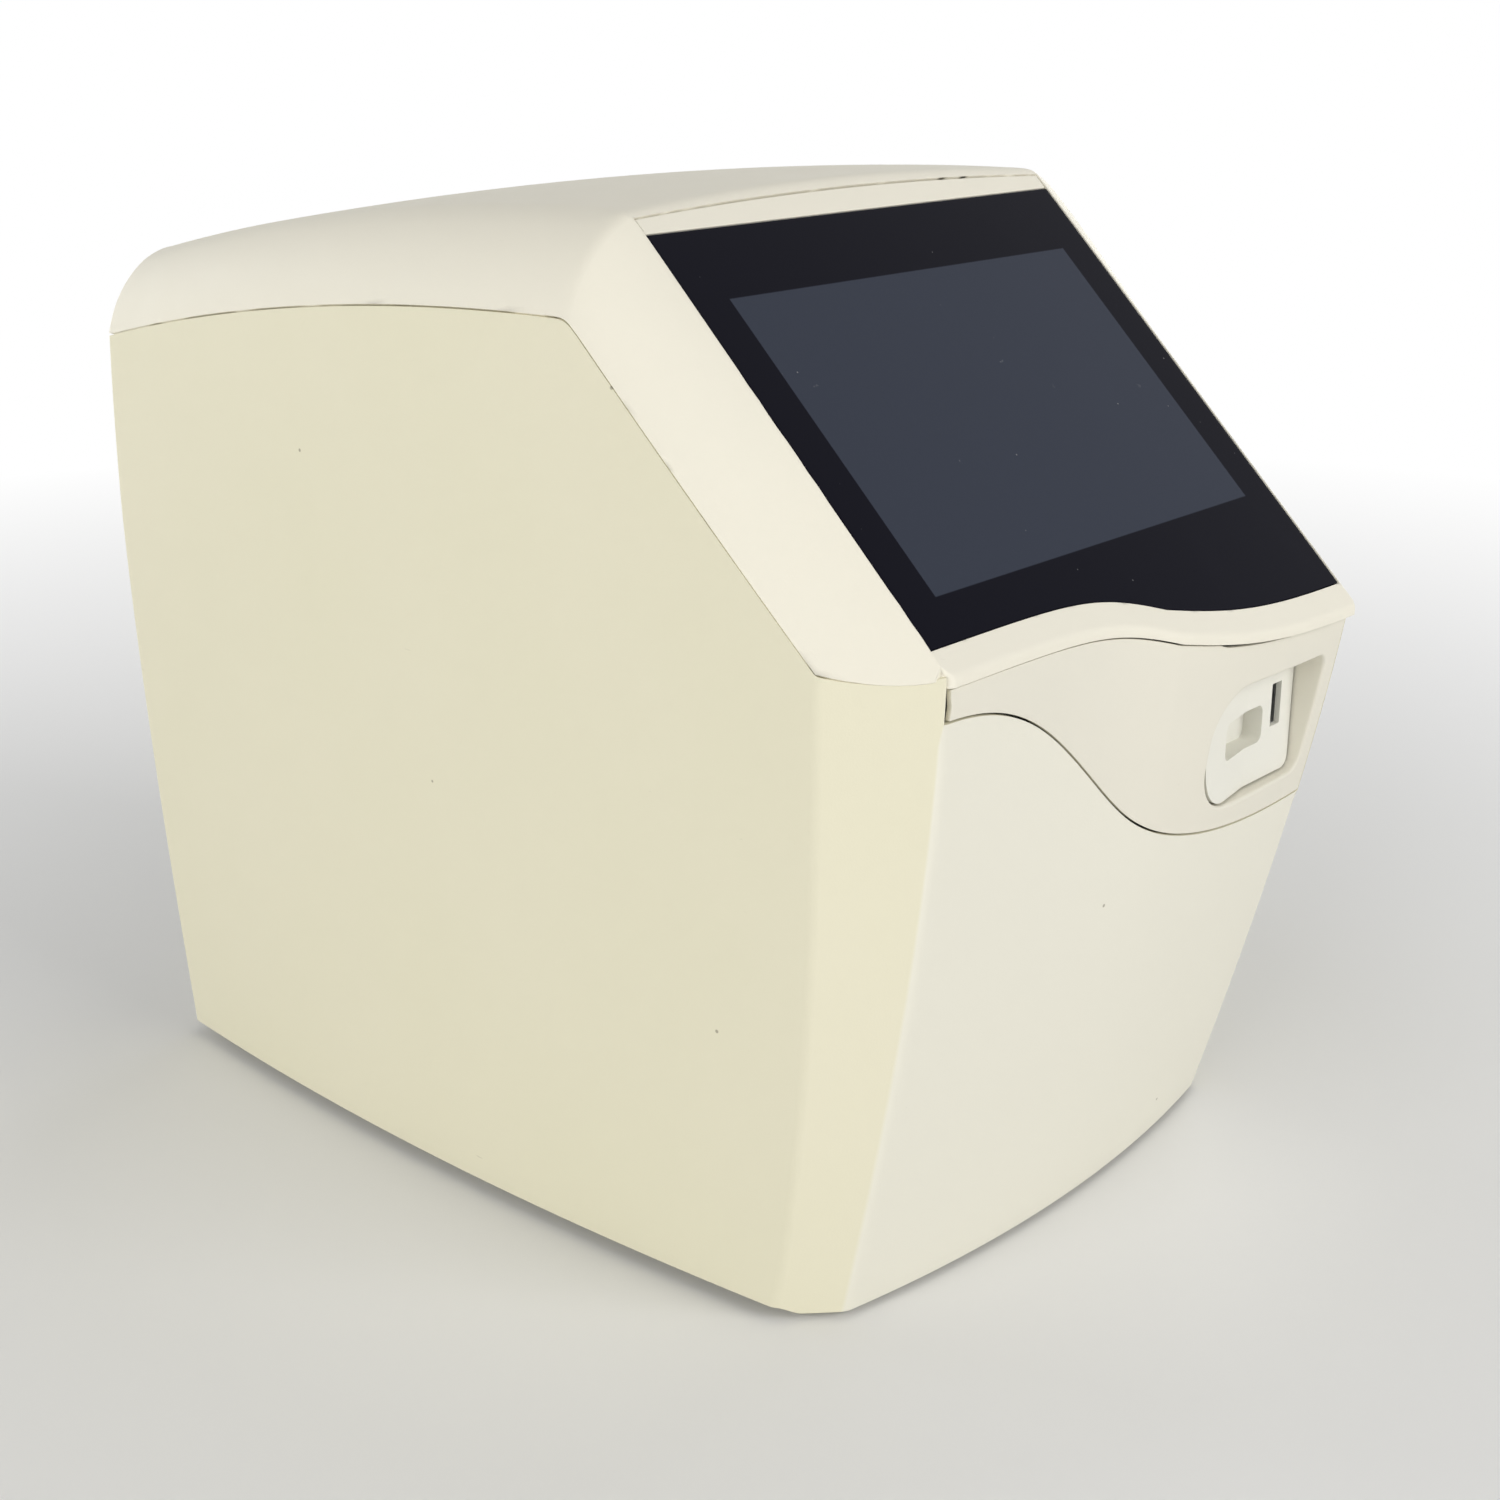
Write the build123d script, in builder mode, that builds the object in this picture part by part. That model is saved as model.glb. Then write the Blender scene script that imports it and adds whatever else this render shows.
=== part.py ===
from build123d import *
from math import cos, radians, sin, tan, tanh
import os

os.makedirs("parts", exist_ok=True)

# Bench spectrophotometer. Millimetres, +Z up, front towards -Y.
# Origin: on the table, below the middle of the whole instrument.

# Driving sizes of the housing
rear_y = 185.4            # flat rear face
foot_height = 5.0         # air under the housing's bottom rim
wall = 3.0                # moulded walls
rear_wall = 7.0
panel_recess = 3.0        # the rear panel lies this deep, so that nothing on it stands proud
seam_gap = 0.5            # shadow line between two mouldings
belt_z = 215.0            # level of the greatest width
draw_height = 210.0       # the sides and front draw in over this height, down to the rim
belt_half_width = 127.0   # half width of the rear face at the belt
rear_draw_in = 13.0       # how much the rear face narrows at the rim
shoulder_draw_in = 1.4    # narrowing of the rear face 59 above the belt
shoulder_span = 59.0
cheek_half_width = 124.8  # side to cheek crease at the belt
cheek_draw_in = 6.0
cheek_y = -140.0          # that crease, front to back
cheek_draw_back = 19.0
side_bulge_low = 8.3      # sagitta of the sides seen from above, at the rim
side_bulge_high = 5.0
front_half_width = 102.4  # cheek to front crease
front_left_y = -167.7
front_left_back = 30.7    # how far the left of the front draws back at the rim
front_right_y = -186.0
front_right_back = 47.2
front_bulge = 10.5        # sagitta of the front at the rim
swing_x = 6.0             # the front swings forward about this place
swing_left = 28.0         # and this far to its left and right
swing_right = 45.0
lip_proud = 0.9           # the cover's lip stands this far in front of the drawer panel

# Roof, screen slope and the rolled shoulders between them and the sides
slope_angle = 44.55
screen_y = -113.0         # centre of the display, on the outer face
screen_z = 269.3
knee_y = -50.0            # where the roof turns down into the slope
crease_x = 102.5
roof_fall = 5.1           # the roof falls this much in the first 100 behind the knee, then as the square
roof_crown = 3.5
shoulder_drop = 27.5      # from the crease down to the seam
shoulder_sagitta = 4.2
shoulder_lean = 76.0      # angle of the shoulder where it meets the side

ALONG_X = (1, 0, 0)
ALONG_Y = (0, 1, 0)
ALONG_Z = (0, 0, 1)

past_rear = rear_y + 20   # construction reaches this far, clear of the body
past_front = -240.0

slope = tan(radians(slope_angle))
knee_z = screen_z + (knee_y - screen_y) * slope
screen_plane = Plane(
    origin=(0, screen_y, screen_z),
    x_dir=(1, 0, 0),
    z_dir=(0, -sin(radians(slope_angle)), cos(radians(slope_angle))),
)

# Screen
glass_half_width = 101.5
glass_top = 79.5          # up the slope from the display's centre
glass_thickness = 2.8
glass_gap = 0.4
glass_sink = 0.2
band_height = 6.0         # white strip above the glass, at its ends
band_crown = 3.4
lip_width = 8.5           # up the slope, from the front crease to the glass edge
lip_height = 4.0          # face of the lip below the crease
display_width = 172.2
display_height = 107.6
display_border = 6.0
display_thickness = 6.0
ledge = 7.0
ledge_thickness = 3.0

# Front drawer panel
panel_gap = 0.6
panel_ogee = [            # lower edge of the panel, seen from the front
    (-80, 199.5), (-54, 188.2), (-30, 168), (-8, 148.3), (21, 135), (55, 129.5),
]
panel_left_z = 201.8
panel_right_z = 128.0
cheek_seam_z = 216.5      # level seam between cover and left cheek
recess_left = 29.0
recess_right = 94.4
recess_bottom = 138.0
recess_top = 180.8
recess_left_radius = 18.0
recess_right_radius = 5.0
recess_back_y = -170.0
collar = 1.6
tub_clearance = 0.8
tub_wall = 2.0
tub_bend_x = 63.0
tub_front_y = -175.0

# Drawer
drawer_x = 29.0
plate_length = 127.76     # standard microplate footprint
plate_width = 85.48
plate_clearance = 0.25
plate_front_y = -148.0
tray_floor_z = 184.6
tray_floor = 2.0
tray_rim = 2.4
tray_rim_height = 5.4
plate_ledge = 5.0
slot_clearance = 1.5

# Rods, screws and motors of the three slides
rod_radius = 4.0
cross_rod_radius = 3.0
screw_radius = 4.0
cross_screw_radius = 2.5
running_clearance = 0.05
nut_clearance = 0.3
rod_left_x = -45.0
rod_right_x = 103.0
screw_x = -60.0
drawer_rod_z = 176.0
scan_rod_z = 116.0
post_thickness = 7.0
front_post_y = -149.2
rear_post_y = 40.0
motor_size = 28.0
motor_length = 38.0

# Scanning arm
well_pitch = 9.0
columns = 12
arm_width = 16.0
arm_height = 12.0
upper_beam_z = 203.0
lower_beam_z = 172.0
throat = 83.0
web_thickness = 14.0
beam_radius = 3.5
lens_radius = 5.5
cross_rod_z = 136.0
cross_rod_spread = 9.0
slider_width = 30.0

# Bench, base and electronics
bench_z = 92.0
bench_thickness = 8.0
bench_half_width = 112.0
bench_rear_y = 120.0
window_x = 92.0           # opening in the rear wall
window_low = 22.0
window_high = 252.0
rabbet = 8.0              # the rear panel lies this far over the wall round the opening
rear_panel_thickness = 2.0
panel_fit = 0.3
base_z = 5.5
base_thickness = 2.0
flange_thickness = 3.0
flange_width = 11.0
foot_radius = 11.0
board_thickness = 1.6


def fall(z, power):
    """Share of the draw-in at height z: 0 at the belt and above, 1 at the rim."""
    return (max(belt_z - z, 0.0) / draw_height) ** power


def rear_half_width(z):
    """Half width of the flat rear face."""
    if z > belt_z:
        return belt_half_width - shoulder_draw_in * ((z - belt_z) / shoulder_span) ** 2
    return belt_half_width - rear_draw_in * fall(z, 1.5)


def cheek_point(z):
    """The crease between side and cheek, on the right."""
    return cheek_half_width - cheek_draw_in * fall(z, 2), cheek_y + cheek_draw_back * fall(z, 2.6)


def side_bulge(z):
    share = min(max((z - foot_height) / draw_height, 0.0), 1.0)
    return side_bulge_low + (side_bulge_high - side_bulge_low) * share


def side_x(y, z):
    """Half width of the body at any place: a bowed line from the rear face to the cheek."""
    x_cheek, y_cheek = cheek_point(z)
    share = (rear_y - y) / (rear_y - y_cheek)
    chord = rear_half_width(z) + (x_cheek - rear_half_width(z)) * share
    return chord + 4 * side_bulge(z) * share * (1 - share)


def swing(x):
    """0 at the left of the front, 1 at the right, with a smooth turn between."""
    reach = swing_left if x < swing_x else swing_right
    return 0.5 * (1 + tanh((x - swing_x) / reach))


def front_y(x, z):
    """The front face: bowed at the rim, and swung forward on the right at the top."""
    left = front_left_y + front_left_back * fall(z, 1.6)
    right = front_right_y + front_right_back * fall(z, 1.3)
    lift = min(max((z - foot_height) / draw_height, 0.0), 1.0)
    straight = 0.5 + x / (2 * front_half_width)
    share = (1 - lift) * straight + lift * swing(x)
    bow = front_bulge * (1 - lift) * (1 - (x / front_half_width) ** 2)
    return left + (right - left) * share - bow


def lip_crease_z(x):
    """Height of the crease where the slope meets the front face."""
    return screen_z + (front_y(x, belt_z) - screen_y) * slope


def lip_bottom_z(x):
    """Lower edge of the lip, which the drawer panel follows."""
    return lip_crease_z(x) - lip_height


def glass_bottom(x):
    """Distance down the slope from the display's centre to the glass's lower edge."""
    down = (screen_y - front_y(x, belt_z)) / cos(radians(slope_angle))
    return down - lip_width


def plan_face(z, inset, rear_inset, forward):
    """Face of the body at height z, drawn in by the wall where inset is not 0."""
    x_rear = rear_half_width(z) - inset
    y_rear = rear_y - rear_inset
    x_cheek, y_cheek = cheek_point(z)
    x_cheek = x_cheek - inset
    y_cheek = y_cheek + 0.4 * inset
    x_front = front_half_width - 0.4 * inset
    middle_y = (y_rear + y_cheek) / 2
    middle_x = side_x(middle_y, z) - inset
    steps = [-1.0, -0.66, -0.33, 0.0, 0.33, 0.66, 1.0]
    front = [(x_front * s, front_y(front_half_width * s, z) + inset - forward) for s in steps]
    with BuildSketch(Plane.XY.offset(z)) as face:
        with BuildLine():
            Line((-x_rear, y_rear), (x_rear, y_rear))
            ThreePointArc((x_rear, y_rear), (middle_x, middle_y), (x_cheek, y_cheek))
            Line((x_cheek, y_cheek), front[-1])
            Spline(*reversed(front))
            Line(front[0], (-x_cheek, y_cheek))
            ThreePointArc((-x_cheek, y_cheek), (-middle_x, middle_y), (-x_rear, y_rear))
        make_face()
    return face.sketch


def roof_z(y):
    """Height of the roof's crease."""
    return knee_z - roof_fall * ((y - knee_y) / 100) ** 2 if y > knee_y else knee_z


def roof_face(y, crease_z, crown, inset):
    """Cross-section of roof, shoulders and everything below, at one place from front to back."""
    drop = shoulder_drop
    edge_x = side_x(y, crease_z - drop) - inset
    top_x = crease_x - 0.5 * inset
    top_z = crease_z - inset
    seam_z = crease_z - drop - 0.4 * inset
    run, depth = edge_x - top_x, top_z - seam_z
    length = (run * run + depth * depth) ** 0.5
    arc_x = (edge_x + top_x) / 2 + shoulder_sagitta * depth / length
    arc_z = (top_z + seam_z) / 2 + shoulder_sagitta * run / length
    low_z = -60.0
    low_x = edge_x + (seam_z - low_z) / tan(radians(shoulder_lean))
    section = Plane(origin=(0, y, 0), x_dir=(1, 0, 0), z_dir=(0, -1, 0))
    with BuildSketch(section) as face:
        with BuildLine():
            Line((-low_x, low_z), (low_x, low_z))
            Line((low_x, low_z), (edge_x, seam_z))
            ThreePointArc((edge_x, seam_z), (arc_x, arc_z), (top_x, top_z))
            if crown:
                ThreePointArc((top_x, top_z), (0, top_z + crown), (-top_x, top_z))
            else:
                Line((top_x, top_z), (-top_x, top_z))
            ThreePointArc((-top_x, top_z), (-arc_x, arc_z), (-edge_x, seam_z))
            Line((-edge_x, seam_z), (-low_x, low_z))
        make_face()
    return face.sketch


def roof_form(inset):
    """Everything below the roof and its shoulders."""
    with BuildPart() as form:
        for y in (past_rear, rear_y - 60, 40.0, knee_y, cheek_y, past_front):
            add(roof_face(y, roof_z(y), roof_crown, inset))
        loft()
    return form.part


def slope_form(inset):
    """Everything below the screen slope and its shoulders."""
    with BuildPart() as form:
        for y in (past_rear, knee_y, cheek_y, past_front):
            crease = knee_z + (y - knee_y) * slope
            add(roof_face(y, crease - 0.4 * inset, 0, inset))
        loft(ruled=True)
    return form.part


def envelope(inset, rear_inset, bottom, forward=0.0):
    """The whole closed form, or the room inside it."""
    with BuildPart() as form:
        for z in (bottom, 45.0, 95.0, 150.0, belt_z, 280.0, 345.0):
            add(plan_face(z, inset, rear_inset, forward))
        loft()
        add(roof_form(inset), mode=Mode.INTERSECT)
        add(slope_form(inset), mode=Mode.INTERSECT)
    return form.part


rear_screw_x = window_x + 4
rear_screw_places = [(x, z) for x in (-rear_screw_x, rear_screw_x) for z in (window_low, 137.0, window_high)]


def block(x, y, z, mode=Mode.ADD):
    """A box between two values along each axis."""
    with Locations(((x[0] + x[1]) / 2, (y[0] + y[1]) / 2, (z[0] + z[1]) / 2)):
        Box(x[1] - x[0], y[1] - y[0], z[1] - z[0], mode=mode)


def bar(radius, start, length, axis, mode=Mode.ADD):
    """A round bar, or a bore, from a start point along an axis."""
    with Locations(Plane(origin=start, z_dir=axis)):
        Cylinder(radius, length, align=(Align.CENTER, Align.CENTER, Align.MIN), mode=mode)


def save(piece, name):
    """Name a finished piece and write it."""
    piece.part.label = name
    export_step(piece.part, f"parts/{name}.step")


front_steps = [-1.0, -0.75, -0.5, -0.25, 0.0, 0.25, 0.5, 0.75, 1.0]
front_plane = Plane(origin=(0, past_front, 0), x_dir=(1, 0, 0), z_dir=(0, -1, 0))


def cover_zone(drop):
    """Everything above the seams, moved down by drop."""
    seam = [(y, roof_z(y) - shoulder_drop - drop) for y in (past_rear, 70.0, knee_y)]
    end = (past_front, seam[-1][1] + (past_front - knee_y) * slope)
    x_end = front_half_width
    lip = [(x_end * s, lip_bottom_z(x_end * s) - drop) for s in front_steps]
    with BuildPart() as zone:
        with BuildSketch(Plane.YZ):
            with BuildLine():
                ThreePointArc(*seam)
                Line(seam[-1], end)
                Polyline(end, (past_front, 400), (past_rear, 400), seam[0])
            make_face()
        extrude(amount=160, both=True)
        with BuildSketch(front_plane):
            with BuildLine():
                Polyline((-160, 400), (-160, cheek_seam_z - drop), (-x_end, cheek_seam_z - drop), lip[0])
                Spline(*lip)
                Polyline(lip[-1], (160, lip[-1][1]), (160, 400), (-160, 400))
            make_face()
        extrude(amount=-500, mode=Mode.INTERSECT)
    return zone.part


def panel_zone(grow):
    """The drawer panel seen from the front, grown by the gap round it where grow is not 0."""
    x_end = front_half_width - panel_gap + grow
    low = [(-x_end, panel_left_z - grow)]
    low += [(x, z - grow) for x, z in panel_ogee]
    low += [(x_end, panel_right_z - grow)]
    high = [(x_end * s, lip_bottom_z(x_end * s) - panel_gap + 2 * grow) for s in front_steps]
    with BuildPart() as zone:
        with BuildSketch(front_plane):
            with BuildLine():
                Spline(*low, tangents=[(1, 0), (1, 0)])
                Line(low[-1], high[-1])
                Spline(*reversed(high))
                Line(high[0], low[0])
            make_face()
        extrude(amount=-100)
    return zone.part


def glass_face(grow, top_grow, crown, depth=0.0):
    """Outline of the glass on the slope, or of the opening that takes it and the band above it."""
    half = glass_half_width + grow
    low = [(half * s, -glass_bottom(half * s) - grow) for s in front_steps]
    top = glass_top + top_grow
    with BuildSketch(screen_plane.offset(-depth)) as face:
        with BuildLine():
            Spline(*low)
            Line(low[-1], (half, top))
            if crown:
                ThreePointArc((half, top), (0, top + crown), (-half, top))
            else:
                Line((half, top), (-half, top))
            Line((-half, top), low[0])
        make_face()
    return face.sketch


outside = envelope(0, 0, foot_height)
cover_outside = envelope(0, 0, foot_height, lip_proud)
floor_top = base_z + base_thickness + flange_thickness
inside = envelope(wall, rear_wall, floor_top)
seat_depth = glass_sink + glass_thickness

# Ledge that carries the glass, all round its opening
with BuildPart() as ledge_ring:
    add(glass_face(2.0, band_height + 1.5, band_crown))
    extrude(amount=-(seat_depth + ledge_thickness))
    extrude(glass_face(3.0, band_height + 4, band_crown), amount=-2.0, mode=Mode.SUBTRACT)
    extrude(glass_face(-ledge, -ledge, 0), amount=-20, mode=Mode.SUBTRACT)

# Upper cover: roof, shoulders, screen slope and the wavy lip
glass_opening = glass_face(glass_gap, 2 * glass_gap + band_height, band_crown)
with BuildPart() as upper_cover:
    add(cover_outside)
    add(inside, mode=Mode.SUBTRACT)
    add(cover_zone(0), mode=Mode.INTERSECT)
    add(ledge_ring.part)
    extrude(glass_opening, amount=-seat_depth, mode=Mode.SUBTRACT)
    extrude(glass_opening, amount=10, mode=Mode.SUBTRACT)
save(upper_cover, "upper_cover")

# Lower housing: sides, cheeks and front in one moulding, open at the back and below
panel_rear_y = rear_y - panel_recess
panel_inner_y = panel_rear_y - rear_panel_thickness
with BuildPart() as lower_housing:
    add(outside)
    add(inside, mode=Mode.SUBTRACT)
    add(cover_zone(seam_gap), mode=Mode.SUBTRACT)
    add(panel_zone(panel_gap), mode=Mode.SUBTRACT)
    add(plan_face(foot_height, wall, rear_wall, 0))
    extrude(amount=base_z + base_thickness - foot_height, mode=Mode.SUBTRACT)
    add(plan_face(foot_height, wall + flange_width, rear_wall + flange_width, 0))
    extrude(amount=floor_top - foot_height, mode=Mode.SUBTRACT)
    block((-window_x - rabbet, window_x + rabbet), (panel_inner_y, rear_y),
          (window_low - rabbet, window_high + rabbet), Mode.SUBTRACT)
    block((-window_x, window_x), (rear_y - 20, rear_y), (window_low, window_high), Mode.SUBTRACT)
    with Locations(*[Plane(origin=(x, rear_y, z), z_dir=ALONG_Y) for x, z in rear_screw_places]):
        Cylinder(1.6, 30, mode=Mode.SUBTRACT)
save(lower_housing, "lower_housing")


def recess_face(grow):
    """Outline of the recess seen from the front."""
    width, height = recess_right - recess_left + 2 * grow, recess_top - recess_bottom + 2 * grow
    middle = ((recess_right + recess_left) / 2, (recess_top + recess_bottom) / 2)
    with BuildSketch(front_plane) as face:
        with Locations(middle):
            Rectangle(width, height)
        corners = face.vertices().sort_by(Axis.X)
        fillet(corners[:2], recess_left_radius + grow)
        fillet(face.vertices().sort_by(Axis.X)[-2:], recess_right_radius + grow)
    return face.sketch


# Collar round the recess, on the back of the drawer panel
with BuildPart() as collar_ring:
    extrude(recess_face(collar), amount=-100)
    block((0, 120), (recess_back_y + 1.5, -100), (100, 220), Mode.SUBTRACT)
    add(outside, mode=Mode.INTERSECT)

# Drawer panel with its round-cornered recess
with BuildPart() as drawer_panel:
    add(outside)
    add(inside, mode=Mode.SUBTRACT)
    add(panel_zone(0), mode=Mode.INTERSECT)
    add(collar_ring.part)
    extrude(recess_face(0), amount=-100, mode=Mode.SUBTRACT)
save(drawer_panel, "drawer_panel")

# Inner fascia: the wall behind the panel, with the tray slot and the fixed tub in the recess
fascia_y = front_post_y - 0.3 - tub_wall
slot_left = drawer_x - plate_length / 2 - tray_rim - plate_clearance - slot_clearance
slot_right = drawer_x + plate_length / 2 + tray_rim + plate_clearance + slot_clearance
slot_low = tray_floor_z - slot_clearance
slot_high = tray_floor_z + tray_floor + tray_rim_height + slot_clearance
usb_x = 82.8
usb_z = 163.5
usb_width = 6.3
usb_height = 15.0
pocket_left = 46.0
pocket_right = 74.0
pocket_low = 152.5
pocket_high = 165.5
pocket_depth = 7.0


def tub_plan(shift):
    """Plan of the tub's front: flat behind the socket, slanting forward on the left."""
    with BuildSketch(Plane.XY.offset(120)) as plan:
        with BuildLine():
            Polyline(
                (0, -100), (120, -100), (120, recess_back_y + shift), (tub_bend_x, recess_back_y + shift),
                (recess_left, tub_front_y + shift), (0, tub_front_y + shift), (0, -100),
            )
        make_face()
    return plan.sketch


with BuildPart() as tub_front:
    extrude(tub_plan(0), amount=80)

with BuildPart() as tub_back:
    extrude(tub_plan(tub_wall), amount=80)

with BuildPart() as tub:
    extrude(recess_face(-tub_clearance), amount=-100)
    block((0, 120), (fascia_y, -100), (100, 220), Mode.SUBTRACT)
    add(tub_front.part, mode=Mode.INTERSECT)

with BuildPart() as tub_room:
    extrude(recess_face(-tub_clearance - tub_wall), amount=-110)
    add(tub_back.part, mode=Mode.INTERSECT)

# Cup behind the tub's slanting wall, and the finger pocket in it
pocket_back = recess_back_y + pocket_depth
with BuildPart() as pocket_cup:
    block((pocket_left - tub_wall, pocket_right + tub_wall), (recess_back_y - 10, pocket_back + tub_wall),
          (pocket_low - tub_wall, pocket_high + tub_wall))
    add(tub_front.part, mode=Mode.INTERSECT)

with BuildPart() as pocket:
    with BuildSketch(Plane(origin=(0, pocket_back, 0), x_dir=(1, 0, 0), z_dir=(0, -1, 0))):
        with Locations(((pocket_left + pocket_right) / 2, (pocket_low + pocket_high) / 2)):
            RectangleRounded(pocket_right - pocket_left, pocket_high - pocket_low, 3.0)
    extrude(amount=30)

with BuildPart() as inner_fascia:
    block((-97, 99), (fascia_y, fascia_y + tub_wall), (121, 209))
    add(tub.part)
    add(tub_room.part, mode=Mode.SUBTRACT)
    add(pocket_cup.part)
    add(pocket.part, mode=Mode.SUBTRACT)
    block((pocket_left - 6, pocket_left + 3), (pocket_back - 6, pocket_back - 1),
          (pocket_low + 3, pocket_high - 3), Mode.SUBTRACT)
    block((usb_x - usb_width / 2, usb_x + usb_width / 2), (-180, -160),
          (usb_z - usb_height / 2, usb_z + usb_height / 2), Mode.SUBTRACT)
    block((slot_left, slot_right), (-170, -140), (slot_low, slot_high), Mode.SUBTRACT)
save(inner_fascia, "inner_fascia")

# USB socket behind the tub's slot: shell, tongue and its small board
with BuildPart() as usb_socket:
    shell_front = recess_back_y + tub_wall + 0.2
    block((usb_x - 3.6, usb_x + 3.6), (shell_front, shell_front + 14), (usb_z - 8, usb_z + 8))
    block((usb_x - 2.9, usb_x + 2.9), (shell_front, shell_front + 12), (usb_z - 7.2, usb_z + 7.2),
          Mode.SUBTRACT)
    block((usb_x - 1.9, usb_x - 0.3), (shell_front + 1, shell_front + 12.5), (usb_z - 5.6, usb_z + 5.6))
    block((usb_x + 3.6, usb_x + 5.2), (shell_front + 2, fascia_y + tub_wall + 1), (usb_z - 11, usb_z + 11))
save(usb_socket, "usb_socket")

# Touch glass, flush in the slope
with BuildPart() as touch_glass:
    extrude(glass_face(0, 0, 0, glass_sink), amount=-glass_thickness)
save(touch_glass, "touch_glass")

# White band between the glass and the roof
with BuildPart() as display_band:
    with BuildSketch(screen_plane.offset(-glass_sink)):
        low = glass_top + glass_gap
        high = glass_top + band_height
        with BuildLine():
            Polyline((-glass_half_width, high), (-glass_half_width, low), (glass_half_width, low),
                     (glass_half_width, high))
            ThreePointArc((glass_half_width, high), (0, high + band_crown), (-glass_half_width, high))
        make_face()
    extrude(amount=-glass_thickness)
save(display_band, "display_band")

# Display module under the glass, and the sheet bracket that holds it
with BuildPart() as display_module:
    with BuildSketch(screen_plane.offset(-seat_depth)):
        Rectangle(display_width + 2 * display_border, display_height + 2 * display_border)
    extrude(amount=-display_thickness)
save(display_module, "display_module")

bracket_depth = seat_depth + display_thickness
with BuildPart() as display_bracket:
    with BuildSketch(screen_plane.offset(-bracket_depth)):
        Rectangle(display_width + 2 * display_border, display_height + 2 * display_border)
        with GridLocations(52, 46, 3, 2):
            RectangleRounded(34, 34, 6, mode=Mode.SUBTRACT)
    extrude(amount=-1.5)
    with BuildSketch(screen_plane.offset(-bracket_depth)):
        with GridLocations(display_width + 26, 90, 2, 2):
            Rectangle(18, 14)
    extrude(amount=-1.5)
    with BuildSketch(screen_plane.offset(-seat_depth - ledge_thickness)):
        with GridLocations(display_width + 29, 90, 2, 2):
            Rectangle(10, 10)
    extrude(amount=-(bracket_depth - seat_depth - ledge_thickness))
save(display_bracket, "display_bracket")

# Base plate with its feet, and the posts and bench above it
base_top = base_z + base_thickness
foot_places = [(x, y) for x in (-85.0, 85.0) for y in (-95.0, 150.0)]
with BuildPart() as base_plate:
    add(plan_face(base_z, wall + panel_fit, rear_wall + panel_fit, 0))
    extrude(amount=base_thickness)
    with Locations((0, 40, base_top)):
        with GridLocations(12, 24, 6, 3):
            Box(4, 18, 20, mode=Mode.SUBTRACT)
    with Locations(*[(x, y, base_z) for x, y in foot_places]):
        Hole(1.7, 20)
save(base_plate, "base_plate")

with BuildPart() as rubber_feet:
    with BuildSketch():
        with Locations(*foot_places):
            Circle(foot_radius)
    extrude(amount=base_z, taper=6)
    with Locations(*[(x, y, 0) for x, y in foot_places]):
        Cylinder(4.0, 3.0, align=(Align.CENTER, Align.CENTER, Align.MIN), mode=Mode.SUBTRACT)
        Cylinder(1.7, 20.0, mode=Mode.SUBTRACT)
save(rubber_feet, "rubber_feet")

with BuildPart() as foot_screws:
    for x, y in foot_places:
        bar(3.2, (x, y, 1.0), 2.0, ALONG_Z)
        bar(1.5, (x, y, 3.0), base_top - 0.5, ALONG_Z)
save(foot_screws, "foot_screws")

post_places = [(x, y) for x in (-96.0, 96.0) for y in (-112.0, 100.0)]
with BuildPart() as bench_posts:
    with BuildSketch(Plane.XY.offset(base_top)):
        with Locations(*post_places):
            RegularPolygon(7.0, 6)
    extrude(amount=bench_z - base_top)
save(bench_posts, "bench_posts")

bench_top = bench_z + bench_thickness
bench_front_y = front_post_y
with BuildPart() as optical_bench:
    with BuildSketch(Plane.XY.offset(bench_z)):
        with BuildLine():
            Polyline(
                (-bench_half_width, bench_rear_y), (-bench_half_width, bench_front_y + 18),
                (-bench_half_width + 11, bench_front_y), (bench_half_width - 11, bench_front_y),
                (bench_half_width, bench_front_y + 18), (bench_half_width, bench_rear_y),
                (-bench_half_width, bench_rear_y),
            )
        make_face()
        with Locations((28, 10)):
            with GridLocations(44, 44, 2, 3):
                RectangleRounded(34, 34, 8, mode=Mode.SUBTRACT)
    extrude(amount=bench_thickness)
save(optical_bench, "optical_bench")

# Four posts that hold the two drawer rods above and the two scan rods below
post_left = (screw_x - 9, rod_left_x + 6)
post_right = (rod_right_x - 6, rod_right_x + 6)
post_ends = [(front_post_y, front_post_y + post_thickness), (rear_post_y, rear_post_y + post_thickness)]
rod_start = front_post_y + 0.5
rod_length = rear_post_y + post_thickness - 0.5 - rod_start
with BuildPart() as rod_posts:
    for y in post_ends:
        block(post_left, y, (bench_top, drawer_rod_z + 7))
        block(post_right, y, (bench_top, drawer_rod_z + 7))
    for z in (drawer_rod_z, scan_rod_z):
        for x in (rod_left_x, rod_right_x, screw_x):
            bar(rod_radius + running_clearance, (x, front_post_y - 1, z), 250, ALONG_Y, Mode.SUBTRACT)
save(rod_posts, "rod_posts")

with BuildPart() as drawer_rods:
    for x in (rod_left_x, rod_right_x):
        bar(rod_radius, (x, rod_start, drawer_rod_z), rod_length, ALONG_Y)
save(drawer_rods, "drawer_rods")

with BuildPart() as scan_rods:
    for x in (rod_left_x, rod_right_x):
        bar(rod_radius, (x, rod_start, scan_rod_z), rod_length, ALONG_Y)
save(scan_rods, "scan_rods")

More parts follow.
